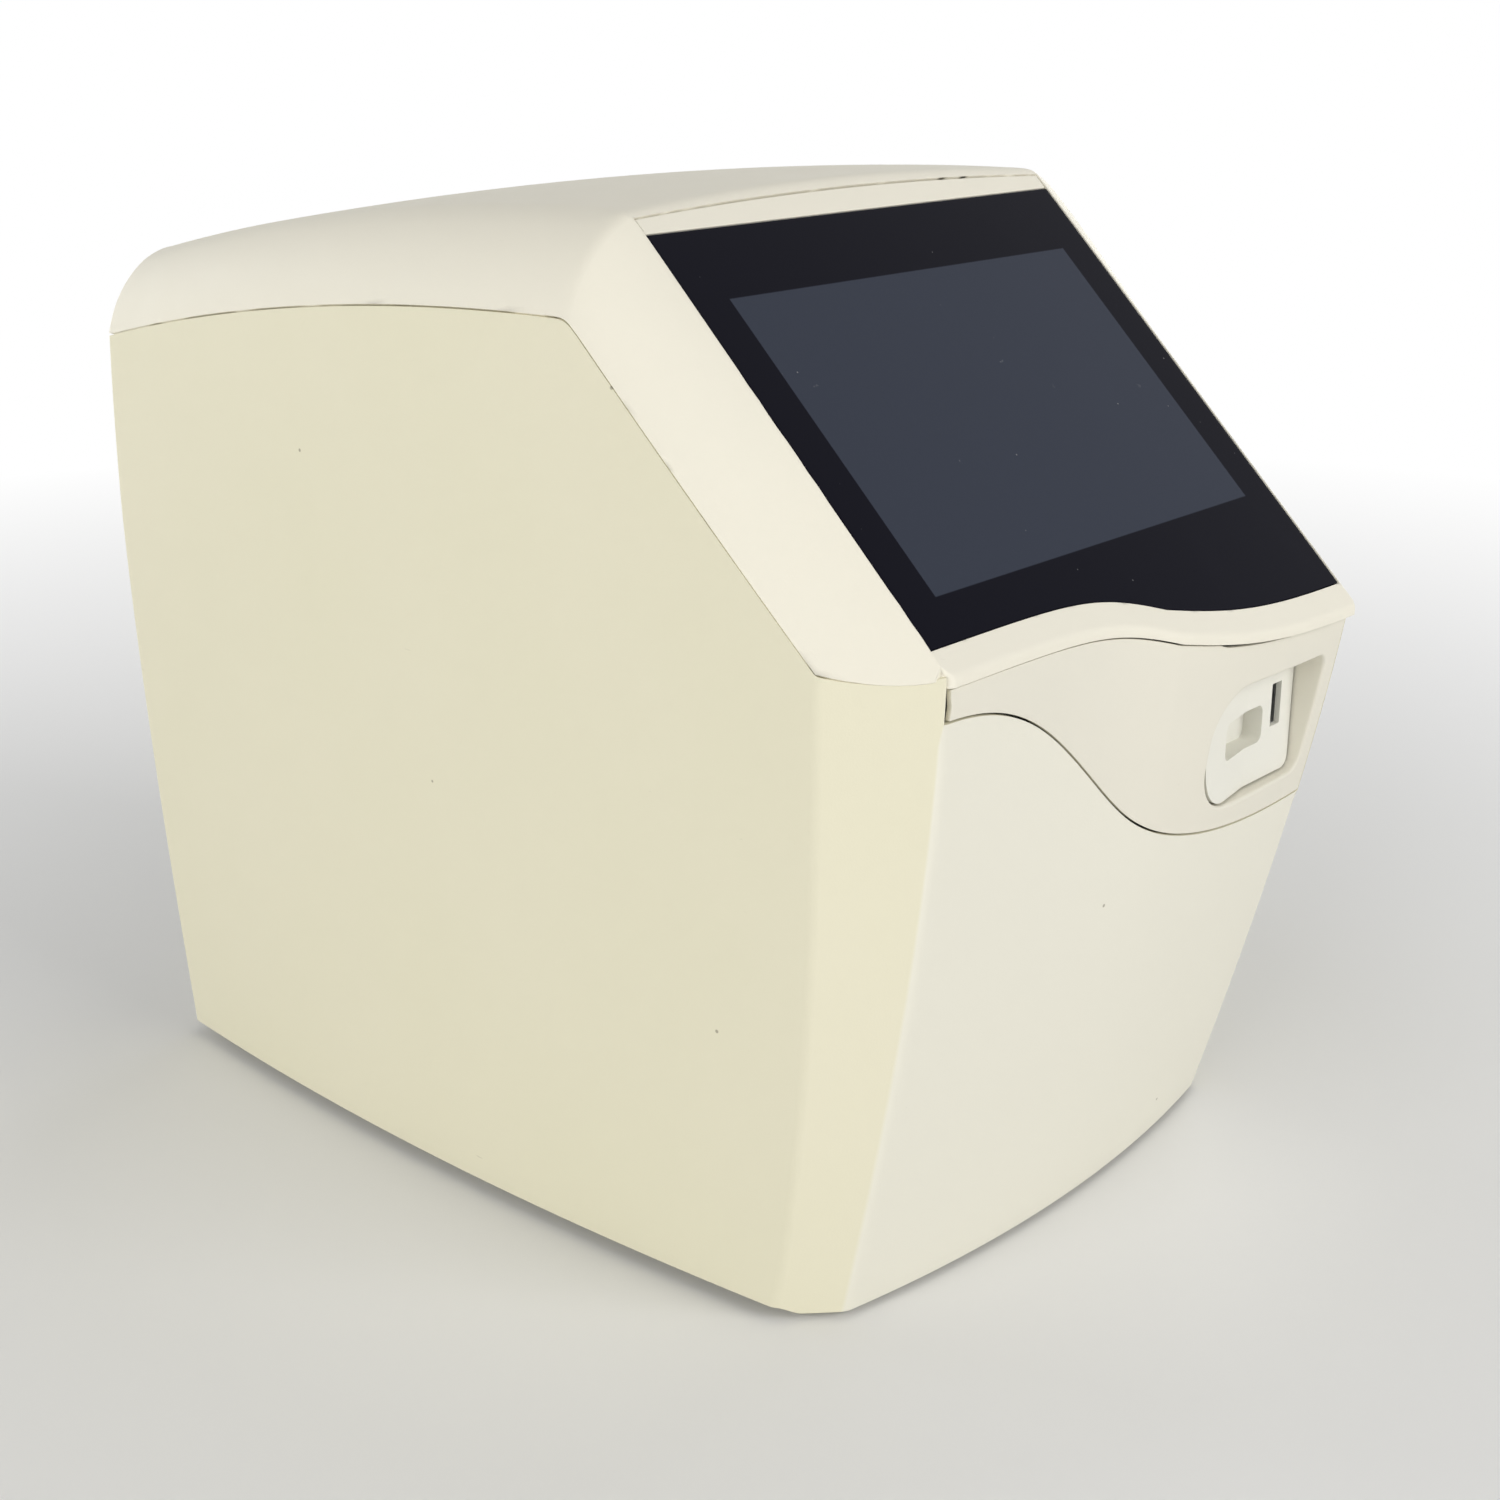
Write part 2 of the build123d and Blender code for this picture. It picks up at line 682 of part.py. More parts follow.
# Lead screws and motors of the drawer and of the long scan slide
motor_y = rear_post_y + post_thickness
shaft_depth = 12.0
for name, z in (("drawer", drawer_rod_z), ("scan", scan_rod_z)):
    with BuildPart() as lead_screw:
        bar(screw_radius, (screw_x, rod_start, z), motor_y + shaft_depth - rod_start, ALONG_Y)
    save(lead_screw, f"{name}_screw")
    with BuildPart() as motor:
        with BuildSketch(Plane(origin=(screw_x, motor_y, z), x_dir=(1, 0, 0), z_dir=ALONG_Y)):
            RectangleRounded(motor_size, motor_size, 4)
        extrude(amount=motor_length)
        bar(screw_radius + running_clearance, (screw_x, motor_y, z), shaft_depth + 1, ALONG_Y, Mode.SUBTRACT)
    save(motor, f"{name}_motor")

# Drawer: a thin tray that takes a microplate on edge ledges, with two tails that run on the rods
tray_half = plate_length / 2 + plate_clearance + tray_rim
tray_left, tray_right = drawer_x - tray_half, drawer_x + tray_half
plate_rear_y = plate_front_y + plate_width + 2 * plate_clearance
tray_front_y = plate_front_y - tray_rim
tray_rear_y = plate_rear_y + tray_rim
tail_y = (-14.0, 16.0)
strip = 6.5
with BuildPart() as plate_tray:
    block((tray_left, tray_right), (tray_front_y, tray_rear_y),
          (tray_floor_z, tray_floor_z + tray_floor + tray_rim_height))
    block((tray_left + tray_rim, tray_right - tray_rim), (plate_front_y, plate_rear_y),
          (tray_floor_z + tray_floor, 220), Mode.SUBTRACT)
    block((tray_left + tray_rim + plate_ledge, tray_right - tray_rim - plate_ledge),
          (plate_front_y + plate_ledge, plate_rear_y - plate_ledge), (150, 220), Mode.SUBTRACT)
    block((tray_left, tray_left + strip), (tray_rear_y, tail_y[1]), (tray_floor_z, tray_floor_z + 4))
    block((tray_right - strip, tray_right), (tray_rear_y, tail_y[1]), (tray_floor_z, tray_floor_z + 4))
    block((post_left[0], tray_left), tail_y, (tray_floor_z, tray_floor_z + 4))
    block((tray_right, post_right[1]), tail_y, (tray_floor_z, tray_floor_z + 4))
save(plate_tray, "plate_tray")

bush_low_z = drawer_rod_z - 9
with BuildPart() as drawer_bushes:
    block((screw_x - 9, rod_left_x + 6), tail_y, (bush_low_z, tray_floor_z))
    block(post_right, tail_y, (bush_low_z, tray_floor_z))
    for x in (rod_left_x, rod_right_x):
        bar(rod_radius + running_clearance, (x, tail_y[0] - 1, drawer_rod_z), 50, ALONG_Y, Mode.SUBTRACT)
    bar(screw_radius + 3, (screw_x, tail_y[0] - 1, drawer_rod_z), 50, ALONG_Y, Mode.SUBTRACT)
save(drawer_bushes, "drawer_bushes")

with BuildPart() as drawer_nut:
    bar(screw_radius + 2.9, (screw_x, tail_y[0] + 2, drawer_rod_z), 24, ALONG_Y)
    bar(screw_radius + nut_clearance, (screw_x, tail_y[0], drawer_rod_z), 50, ALONG_Y, Mode.SUBTRACT)
save(drawer_nut, "drawer_nut")

# Bracket between the tray's front rim and the panel
bracket_x = (-24.0, 18.0)
bracket_right_x = (78.0, 93.0)
with BuildPart() as panel_bracket:
    for x in (bracket_x, bracket_right_x):
        block(x, (-190, tray_front_y), (tray_floor_z, tray_floor_z + 5))
    add(inside, mode=Mode.INTERSECT)
save(panel_bracket, "panel_bracket")

# Long scan slide: two blocks on the scan rods, joined by the cross rods
block_y = (-4.0, 36.0)
cross_y = (block_y[0] + block_y[1]) / 2
cross_rod_y = [cross_y - cross_rod_spread, cross_y + cross_rod_spread]
with BuildPart() as scan_blocks:
    block(post_left, block_y, (scan_rod_z - 7, cross_rod_z + 7))
    block(post_right, block_y, (scan_rod_z - 7, cross_rod_z + 7))
    for x in (rod_left_x, rod_right_x):
        bar(rod_radius + running_clearance, (x, block_y[0] - 1, scan_rod_z), 60, ALONG_Y, Mode.SUBTRACT)
    bar(screw_radius + 2.5, (screw_x, block_y[0] - 1, scan_rod_z), 60, ALONG_Y, Mode.SUBTRACT)
    for y in cross_rod_y:
        bar(cross_rod_radius + running_clearance, (post_left[0] - 1, y, cross_rod_z), 200, ALONG_X,
            Mode.SUBTRACT)
    bar(cross_screw_radius + running_clearance, (post_left[0] - 1, cross_y, cross_rod_z), 200, ALONG_X,
        Mode.SUBTRACT)
save(scan_blocks, "scan_blocks")

with BuildPart() as scan_nut:
    bar(screw_radius + 2.4, (screw_x, block_y[0] + 4, scan_rod_z), 24, ALONG_Y)
    bar(screw_radius + nut_clearance, (screw_x, block_y[0], scan_rod_z), 50, ALONG_Y, Mode.SUBTRACT)
save(scan_nut, "scan_nut")

with BuildPart() as cross_rods:
    for y in cross_rod_y:
        bar(cross_rod_radius, (post_left[0] + 0.5, y, cross_rod_z), post_right[1] - post_left[0] - 1, ALONG_X)
save(cross_rods, "cross_rods")

with BuildPart() as cross_screw:
    start = post_left[0] - 10
    bar(cross_screw_radius, (start, cross_y, cross_rod_z), post_right[1] - 0.5 - start, ALONG_X)
save(cross_screw, "cross_screw")

with BuildPart() as cross_motor:
    motor_plane = Plane(origin=(post_left[0], cross_y, cross_rod_z), x_dir=(0, 1, 0), z_dir=(-1, 0, 0))
    with BuildSketch(motor_plane):
        RectangleRounded(motor_size, motor_size, 4)
    extrude(amount=motor_length - 6)
    bar(cross_screw_radius + running_clearance, (post_left[0] - 11, cross_y, cross_rod_z), 20, ALONG_X,
        Mode.SUBTRACT)
save(cross_motor, "cross_motor")

# Scanning arm: a C-frame whose hollow arms pass above and below the plate
arm_x = drawer_x - (columns - 1) * well_pitch / 2
well_y = cross_y - web_thickness / 2 - throat
web_front = cross_y - web_thickness / 2
arm_tip = well_y - arm_width / 2
arm_span = (arm_x - arm_width / 2, arm_x + arm_width / 2)
with BuildPart() as scan_arm:
    block((arm_x - slider_width / 2, arm_x + slider_width / 2), (cross_y - 15, cross_y + 15),
          (cross_rod_z - 8, cross_rod_z + 8))
    block(arm_span, (web_front, web_front + web_thickness), (cross_rod_z + 8, upper_beam_z + arm_height / 2))
    for z in (upper_beam_z, lower_beam_z):
        block(arm_span, (arm_tip, web_front), (z - arm_height / 2, z + arm_height / 2))
        bar(beam_radius, (arm_x, arm_tip + 4, z), 150, ALONG_Y, Mode.SUBTRACT)
    bar(lens_radius, (arm_x, well_y, lower_beam_z), upper_beam_z - lower_beam_z, ALONG_Z, Mode.SUBTRACT)
    for y in cross_rod_y:
        bar(cross_rod_radius + running_clearance, (arm_span[0] - 30, y, cross_rod_z), 80, ALONG_X, Mode.SUBTRACT)
    bar(cross_screw_radius + 2.5, (arm_span[0] - 30, cross_y, cross_rod_z), 80, ALONG_X, Mode.SUBTRACT)
save(scan_arm, "scan_arm")

with BuildPart() as cross_nut:
    bar(cross_screw_radius + 2.4, (arm_x - 11, cross_y, cross_rod_z), 22, ALONG_X)
    bar(cross_screw_radius + nut_clearance, (arm_x - 20, cross_y, cross_rod_z), 50, ALONG_X, Mode.SUBTRACT)
save(cross_nut, "cross_nut")

# Optics that ride on the arm
lens_thickness = 3.0
with BuildPart() as sample_lenses:
    bar(lens_radius - 0.1, (arm_x, well_y, upper_beam_z - arm_height / 2), lens_thickness, ALONG_Z)
    bar(lens_radius - 0.1, (arm_x, well_y, lower_beam_z + arm_height / 2 - lens_thickness), lens_thickness,
        ALONG_Z)
save(sample_lenses, "sample_lenses")

with BuildPart() as fold_mirrors:
    for z, turn in ((upper_beam_z, 45), (lower_beam_z, -45)):
        with Locations(Location((arm_x, well_y, z), (turn, 0, 0))):
            Cylinder(beam_radius - 0.2, 1.0)
save(fold_mirrors, "fold_mirrors")

lamp_y = web_front + web_thickness
lamp_size = 30.0
lamp_length = 46.0
with BuildPart() as lamp_housing:
    block((arm_x - lamp_size / 2, arm_x + lamp_size / 2), (lamp_y, lamp_y + lamp_length),
          (upper_beam_z - 9, upper_beam_z + 21))
    block((arm_x - lamp_size / 2 + 2, arm_x + lamp_size / 2 - 2), (lamp_y + 10, lamp_y + lamp_length - 2),
          (upper_beam_z - 7, upper_beam_z + 19), Mode.SUBTRACT)
    bar(beam_radius, (arm_x, lamp_y - 1, upper_beam_z), 20, ALONG_Y, Mode.SUBTRACT)
    bar(lens_radius, (arm_x, lamp_y + 4, upper_beam_z), 20, ALONG_Y, Mode.SUBTRACT)
save(lamp_housing, "lamp_housing")

with BuildPart() as lamp_lens:
    bar(lens_radius - 0.1, (arm_x, lamp_y + 4, upper_beam_z), lens_thickness, ALONG_Y)
save(lamp_lens, "lamp_lens")

with BuildPart() as flash_lamp:
    bar(6.0, (arm_x, lamp_y + 18, upper_beam_z), 12.0, ALONG_Y)
    bar(6.8, (arm_x, lamp_y + 30, upper_beam_z), lamp_length - 32.0, ALONG_Y)
save(flash_lamp, "flash_lamp")

spectro_half = 15.5
spectro_low, spectro_high = 150.0, 180.0
spectro_length = 60.0
with BuildPart() as spectrometer_case:
    block((arm_x - spectro_half, arm_x + spectro_half), (lamp_y, lamp_y + spectro_length),
          (spectro_low, spectro_high - 2))
    block((arm_x - spectro_half + 2, arm_x + spectro_half - 2), (lamp_y + 3, lamp_y + spectro_length - 2),
          (spectro_low + 2, spectro_high), Mode.SUBTRACT)
    bar(1.5, (arm_x, lamp_y - 1, lower_beam_z), 8, ALONG_Y, Mode.SUBTRACT)
save(spectrometer_case, "spectrometer_case")

with BuildPart() as spectrometer_lid:
    block((arm_x - spectro_half, arm_x + spectro_half), (lamp_y, lamp_y + spectro_length),
          (spectro_high - 2, spectro_high))
save(spectrometer_lid, "spectrometer_lid")

with BuildPart() as diffraction_grating:
    block((arm_x - 9, arm_x + 9), (lamp_y + spectro_length - 8, lamp_y + spectro_length - 2),
          (spectro_low + 2, spectro_high - 4))
    with Locations((arm_x, lamp_y + spectro_length - 8 - 38, lower_beam_z)):
        Cylinder(40, 60, mode=Mode.SUBTRACT)
save(diffraction_grating, "diffraction_grating")

with BuildPart() as sensor_board:
    block((arm_x - spectro_half + 2, arm_x + spectro_half - 2), (lamp_y + 3.0, lamp_y + 4.6),
          (spectro_low + 2, lower_beam_z - 4))
    block((arm_x - 10, arm_x + 10), (lamp_y + 4.6, lamp_y + 7.6), (spectro_low + 6, lower_beam_z - 6))
save(sensor_board, "sensor_board")

# Sensor that finds the drawer's closed place
with BuildPart() as home_sensor:
    sensor_z = drawer_rod_z + 7
    block((98, 108), (rear_post_y, rear_post_y + 6), (sensor_z, sensor_z + 7))
    block((98, 101), (tail_y[1] + 3, rear_post_y), (sensor_z + 3, sensor_z + 7))
    block((105, 108), (tail_y[1] + 3, rear_post_y), (sensor_z + 3, sensor_z + 7))
save(home_sensor, "home_sensor")

# Electronics on the base plate
board_z = base_top + 8.0
board_x = (-104.0, 8.0)
board_y = (-96.0, 76.0)
board_posts = [(x, y) for x in (board_x[0] + 5, board_x[1] - 5) for y in (board_y[0] + 5, board_y[1] - 5)]
with BuildPart() as board_spacers:
    for x, y in board_posts:
        bar(3.0, (x, y, base_top), board_z - base_top, ALONG_Z)
save(board_spacers, "board_spacers")

with BuildPart() as main_board:
    block(board_x, board_y, (board_z, board_z + board_thickness))
    chip_z = board_z + board_thickness
    for x, y, w, d, h in ((-70, 20, 34, 34, 7), (-30, 30, 16, 16, 3), (-80, -50, 20, 30, 12),
                          (-20, -60, 30, 12, 10), (-50, -20, 14, 14, 3), (-10, 0, 8, 40, 9), (-92, 60, 12, 20, 9)):
        block((x - w / 2, x + w / 2), (y - d / 2, y + d / 2), (chip_z, chip_z + h))
save(main_board, "main_board")

with BuildPart() as power_supply:
    block((22, 106), (-60, 88), (base_top, base_top + 40))
    with Locations((64, 88, base_top + 20)):
        with GridLocations(12, 0, 6, 1):
            Box(4, 12, 26, mode=Mode.SUBTRACT)
save(power_supply, "power_supply")

# Rear panel with the fan grille, mains inlet, switch and data sockets
rear_plane = Plane(origin=(0, panel_rear_y, 0), x_dir=(-1, 0, 0), z_dir=ALONG_Y)
fan_z = 205.0
fan_size = 80.0
fan_thickness = 25.0
fan_screw_pitch = 71.5
inlet_x, inlet_z = 62.0, 50.0
switch_x = 30.0
ports = [(-74.0, 16.0, 13.5), (-52.0, 14.5, 16.0), (-30.0, 12.5, 11.5)]
ports_z = 52.0
with BuildPart() as rear_panel:
    with BuildSketch(rear_plane):
        with Locations((0, (window_low + window_high) / 2)):
            Rectangle(2 * (window_x + rabbet - panel_fit), window_high - window_low + 2 * (rabbet - panel_fit))
        with Locations((0, fan_z)):
            Circle(fan_size / 2 - 3, mode=Mode.SUBTRACT)
            with GridLocations(fan_screw_pitch, fan_screw_pitch, 2, 2):
                Circle(2.2, mode=Mode.SUBTRACT)
        with Locations((-inlet_x, inlet_z)):
            Rectangle(28.4, 22.4, mode=Mode.SUBTRACT)
        with Locations((-switch_x, inlet_z)):
            Rectangle(13.2, 19.4, mode=Mode.SUBTRACT)
        for x, width, height in ports:
            with Locations((-x, ports_z)):
                Rectangle(width, height, mode=Mode.SUBTRACT)
        with Locations((0, 110)):
            with GridLocations(9, 0, 15, 1):
                Rectangle(4, 40, mode=Mode.SUBTRACT)
        with Locations(*[(-x, z) for x, z in rear_screw_places]):
            Circle(1.7, mode=Mode.SUBTRACT)
    extrude(amount=-rear_panel_thickness)
save(rear_panel, "rear_panel")

with BuildPart() as rear_screws:
    for x, z in rear_screw_places:
        bar(3.0, (x, panel_rear_y, z), 1.6, ALONG_Y)
        bar(1.5, (x, panel_rear_y - 9, z), 9, ALONG_Y)
save(rear_screws, "rear_screws")

with BuildPart() as fan_frame:
    block((-fan_size / 2, fan_size / 2), (panel_inner_y - fan_thickness, panel_inner_y),
          (fan_z - fan_size / 2, fan_z + fan_size / 2))
    bar(fan_size / 2 - 2, (0, panel_inner_y - 30, fan_z), 40, ALONG_Y, Mode.SUBTRACT)
    bar(17, (0, panel_inner_y - fan_thickness, fan_z), 4, ALONG_Y)
    for turn in (45, 135, 225, 315):
        with Locations(Location((0, panel_inner_y - fan_thickness + 2, fan_z), (0, turn, 0))):
            Box(fan_size - 3, 4, 4)
    bar(2.05, (0, panel_inner_y - 30, fan_z), 20, ALONG_Y, Mode.SUBTRACT)
    with Locations(Plane(origin=(0, panel_inner_y, fan_z), z_dir=ALONG_Y)):
        with GridLocations(fan_screw_pitch, fan_screw_pitch, 2, 2):
            Cylinder(2.2, 80, mode=Mode.SUBTRACT)
save(fan_frame, "fan_frame")

hub_y = panel_inner_y - fan_thickness + 4.5
with BuildPart() as fan_rotor:
    bar(16, (0, hub_y, fan_z), 17, ALONG_Y)
    bar(2.0, (0, hub_y - 4, fan_z), 5, ALONG_Y)
    for blade in range(7):
        angle = 360 / 7 * blade
        with Locations(Location((0, hub_y + 8.5, fan_z), (0, angle, 0))):
            with Locations(Location((25.5, 0, 0), (35, 0, 0))):
                Box(21, 1.6, 20)
save(fan_rotor, "fan_rotor")

with BuildPart() as fan_guard:
    guard_plane = Plane(origin=(0, panel_rear_y, fan_z), x_dir=(1, 0, 0), z_dir=ALONG_Y)
    with BuildSketch(guard_plane):
        for radius in (14, 25, 36):
            Circle(radius + 0.8)
            Circle(radius - 0.8, mode=Mode.SUBTRACT)
        with GridLocations(fan_screw_pitch, fan_screw_pitch, 2, 2):
            Circle(4)
        Rectangle(101.2, 1.8, rotation=45)
        Rectangle(101.2, 1.8, rotation=135)
        with GridLocations(fan_screw_pitch, fan_screw_pitch, 2, 2):
            Circle(2.2, mode=Mode.SUBTRACT)
    extrude(amount=1.4)
save(fan_guard, "fan_guard")

with BuildPart() as mains_inlet:
    block((inlet_x - 14, inlet_x + 14), (panel_rear_y - 22, panel_rear_y), (inlet_z - 11, inlet_z + 11))
    block((inlet_x - 16.5, inlet_x + 16.5), (panel_rear_y, panel_rear_y + 2), (inlet_z - 14, inlet_z + 14))
    block((inlet_x - 12, inlet_x + 12), (panel_rear_y - 16, panel_rear_y + 3), (inlet_z - 8, inlet_z + 8),
          Mode.SUBTRACT)
    for x, z in ((-7, -2), (0, 2), (7, -2)):
        block((inlet_x + x - 1, inlet_x + x + 1), (panel_rear_y - 17, panel_rear_y - 3),
              (inlet_z + z - 2, inlet_z + z + 2))
save(mains_inlet, "mains_inlet")

with BuildPart() as switch_frame:
    block((switch_x - 6.5, switch_x + 6.5), (panel_rear_y - 16, panel_rear_y), (inlet_z - 9.6, inlet_z + 9.6))
    block((switch_x - 8.5, switch_x + 8.5), (panel_rear_y, panel_rear_y + 1.6), (inlet_z - 11.5, inlet_z + 11.5))
    block((switch_x - 5.2, switch_x + 5.2), (panel_rear_y - 13, panel_rear_y + 3),
          (inlet_z - 8.4, inlet_z + 8.4), Mode.SUBTRACT)
    bar(1.05, (switch_x - 6.4, panel_rear_y - 4, inlet_z), 12.8, ALONG_X, Mode.SUBTRACT)
save(switch_frame, "switch_frame")

rocker_tilt = 8.0
rocker_profile = [(3.8, 0), (5.6, 7.2), (-3.0, 5.2), (-3.0, -5.2), (5.6, -7.2)]
with BuildPart() as power_rocker:
    rocker_plane = Plane(origin=(switch_x - 4.9, panel_rear_y - 4, inlet_z), x_dir=(0, 1, 0), z_dir=ALONG_X)
    with BuildSketch(rocker_plane):
        Polygon(*rocker_profile, rotation=-rocker_tilt, align=None)
    extrude(amount=9.8)
    bar(1.0, (switch_x - 6.2, panel_rear_y - 4, inlet_z), 12.4, ALONG_X)
save(power_rocker, "power_rocker")

with BuildPart() as data_sockets:
    for x, width, height in ports:
        block((x - width / 2 + 0.15, x + width / 2 - 0.15), (panel_rear_y - 18, panel_rear_y + 0.4),
              (ports_z - height / 2 + 0.15, ports_z + height / 2 - 0.15))
        block((x - width / 2 + 1.4, x + width / 2 - 1.4), (panel_rear_y - 12, panel_rear_y + 1),
              (ports_z - height / 2 + 1.6, ports_z + height / 2 - 1.6), Mode.SUBTRACT)
    block((-84, -22), (panel_rear_y - 24, panel_rear_y - 18), (ports_z - 11, ports_z + 11))
save(data_sockets, "data_sockets")

with BuildPart() as fan_screws:
    for x in (-fan_screw_pitch / 2, fan_screw_pitch / 2):
        for z in (fan_z - fan_screw_pitch / 2, fan_z + fan_screw_pitch / 2):
            bar(3.4, (x, panel_rear_y + 1.4, z), 1.6, ALONG_Y)
            bar(1.9, (x, panel_inner_y - fan_thickness, z), fan_thickness + 3.4, ALONG_Y)
save(fan_screws, "fan_screws")
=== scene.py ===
"""A bench spectrophotometer with a sloping touch screen and a wavy front panel, dressed round its CAD frame.

Sizes are millimetres and turn into metres where a mesh is made. Front is -Y, up is +Z, and the origin
lies on the table below the middle of the instrument.
"""

import logging
import math
from dataclasses import dataclass
from enum import Enum
from typing import Callable, Sequence

import bmesh
import bpy
import numpy as np
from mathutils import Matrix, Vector


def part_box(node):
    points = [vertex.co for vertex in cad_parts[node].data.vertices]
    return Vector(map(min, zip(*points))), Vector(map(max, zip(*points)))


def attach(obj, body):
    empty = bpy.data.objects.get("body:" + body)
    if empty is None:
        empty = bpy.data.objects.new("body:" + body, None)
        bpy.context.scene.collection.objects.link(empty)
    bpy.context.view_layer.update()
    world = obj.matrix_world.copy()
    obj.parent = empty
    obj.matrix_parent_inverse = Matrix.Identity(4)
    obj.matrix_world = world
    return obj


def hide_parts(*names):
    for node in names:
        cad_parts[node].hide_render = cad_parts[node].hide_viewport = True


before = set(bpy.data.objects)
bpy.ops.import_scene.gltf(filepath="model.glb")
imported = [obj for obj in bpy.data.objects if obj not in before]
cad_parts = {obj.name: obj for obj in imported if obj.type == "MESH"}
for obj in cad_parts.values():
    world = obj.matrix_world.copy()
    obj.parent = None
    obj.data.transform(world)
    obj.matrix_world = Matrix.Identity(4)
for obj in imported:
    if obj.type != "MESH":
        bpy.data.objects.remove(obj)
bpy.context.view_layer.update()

LOG = logging.getLogger("spectrophotometer")
MM = 0.001
MIDDLE = Vector((0.0, 0.0, 0.15))
RIM_SEGMENTS = 3
RIM_ANGLE = 42.0
Array = np.ndarray
Colour = tuple[float, float, float]


def smooth_step(value: Array, low: float, high: float) -> Array:
    """Rises from 0 to 1 between low and high, with level ends."""
    share = np.clip((value - low) / (high - low), 0.0, 1.0)
    return share * share * (3 - 2 * share)


def smooth_least(first: Array, second: Array, blend: float) -> Array:
    """The smaller of two heights, rounded where they cross: minus blend times a log of exponentials."""
    return -blend * np.logaddexp(-first / blend, -second / blend)


def spaced(start: float, end: float, count: int, crowd: float = 0.0) -> Array:
    """Values from start to end; crowd from 0 to 1 draws them towards both ends by a cosine."""
    t = np.linspace(0.0, 1.0, count)
    t = (1 - crowd) * t + crowd * (1 - np.cos(math.pi * t)) / 2
    return start + (end - start) * t


def bend(before: Array, corner: Array, after: Array, t: Array) -> Array:
    """Place at t on the quadratic Bezier from before to after that leans on the corner."""
    return (1 - t) ** 2 * before + 2 * t * (1 - t) * corner + t**2 * after


def corner_curve(before: Array, corner: Array, after: Array, count: int) -> Array:
    """Rows of points that bend from before to after, in count rows with both ends counted."""
    t = np.linspace(0.0, 1.0, count).reshape((count,) + (1,) * before.ndim)
    return bend(before, corner, after, t)


def graded(parts: Sequence[tuple[Array, Array, int]], last: Array) -> Array:
    """Rows that lead through each part (start, end, number of steps), and the last row."""
    rows = [a + (b - a) * t for a, b, n in parts for t in np.linspace(0, 1, n, endpoint=False)]
    return np.array([np.broadcast_to(row, last.shape) for row in rows] + [last])


def stack(x: Array, y: Array, z: Array) -> Array:
    """Three arrays of one shape as points."""
    return np.stack(np.broadcast_arrays(x, y, z), axis=-1)


def lowered(edge: Array, low: Array, count: int) -> Array:
    """Rows of points that lead from an edge straight down to a height, without the edge itself."""
    t = np.linspace(0, 1, count + 1)[1:, None]
    return stack(edge[:, 0], edge[:, 1], edge[:, 2] + (low - edge[:, 2]) * t)


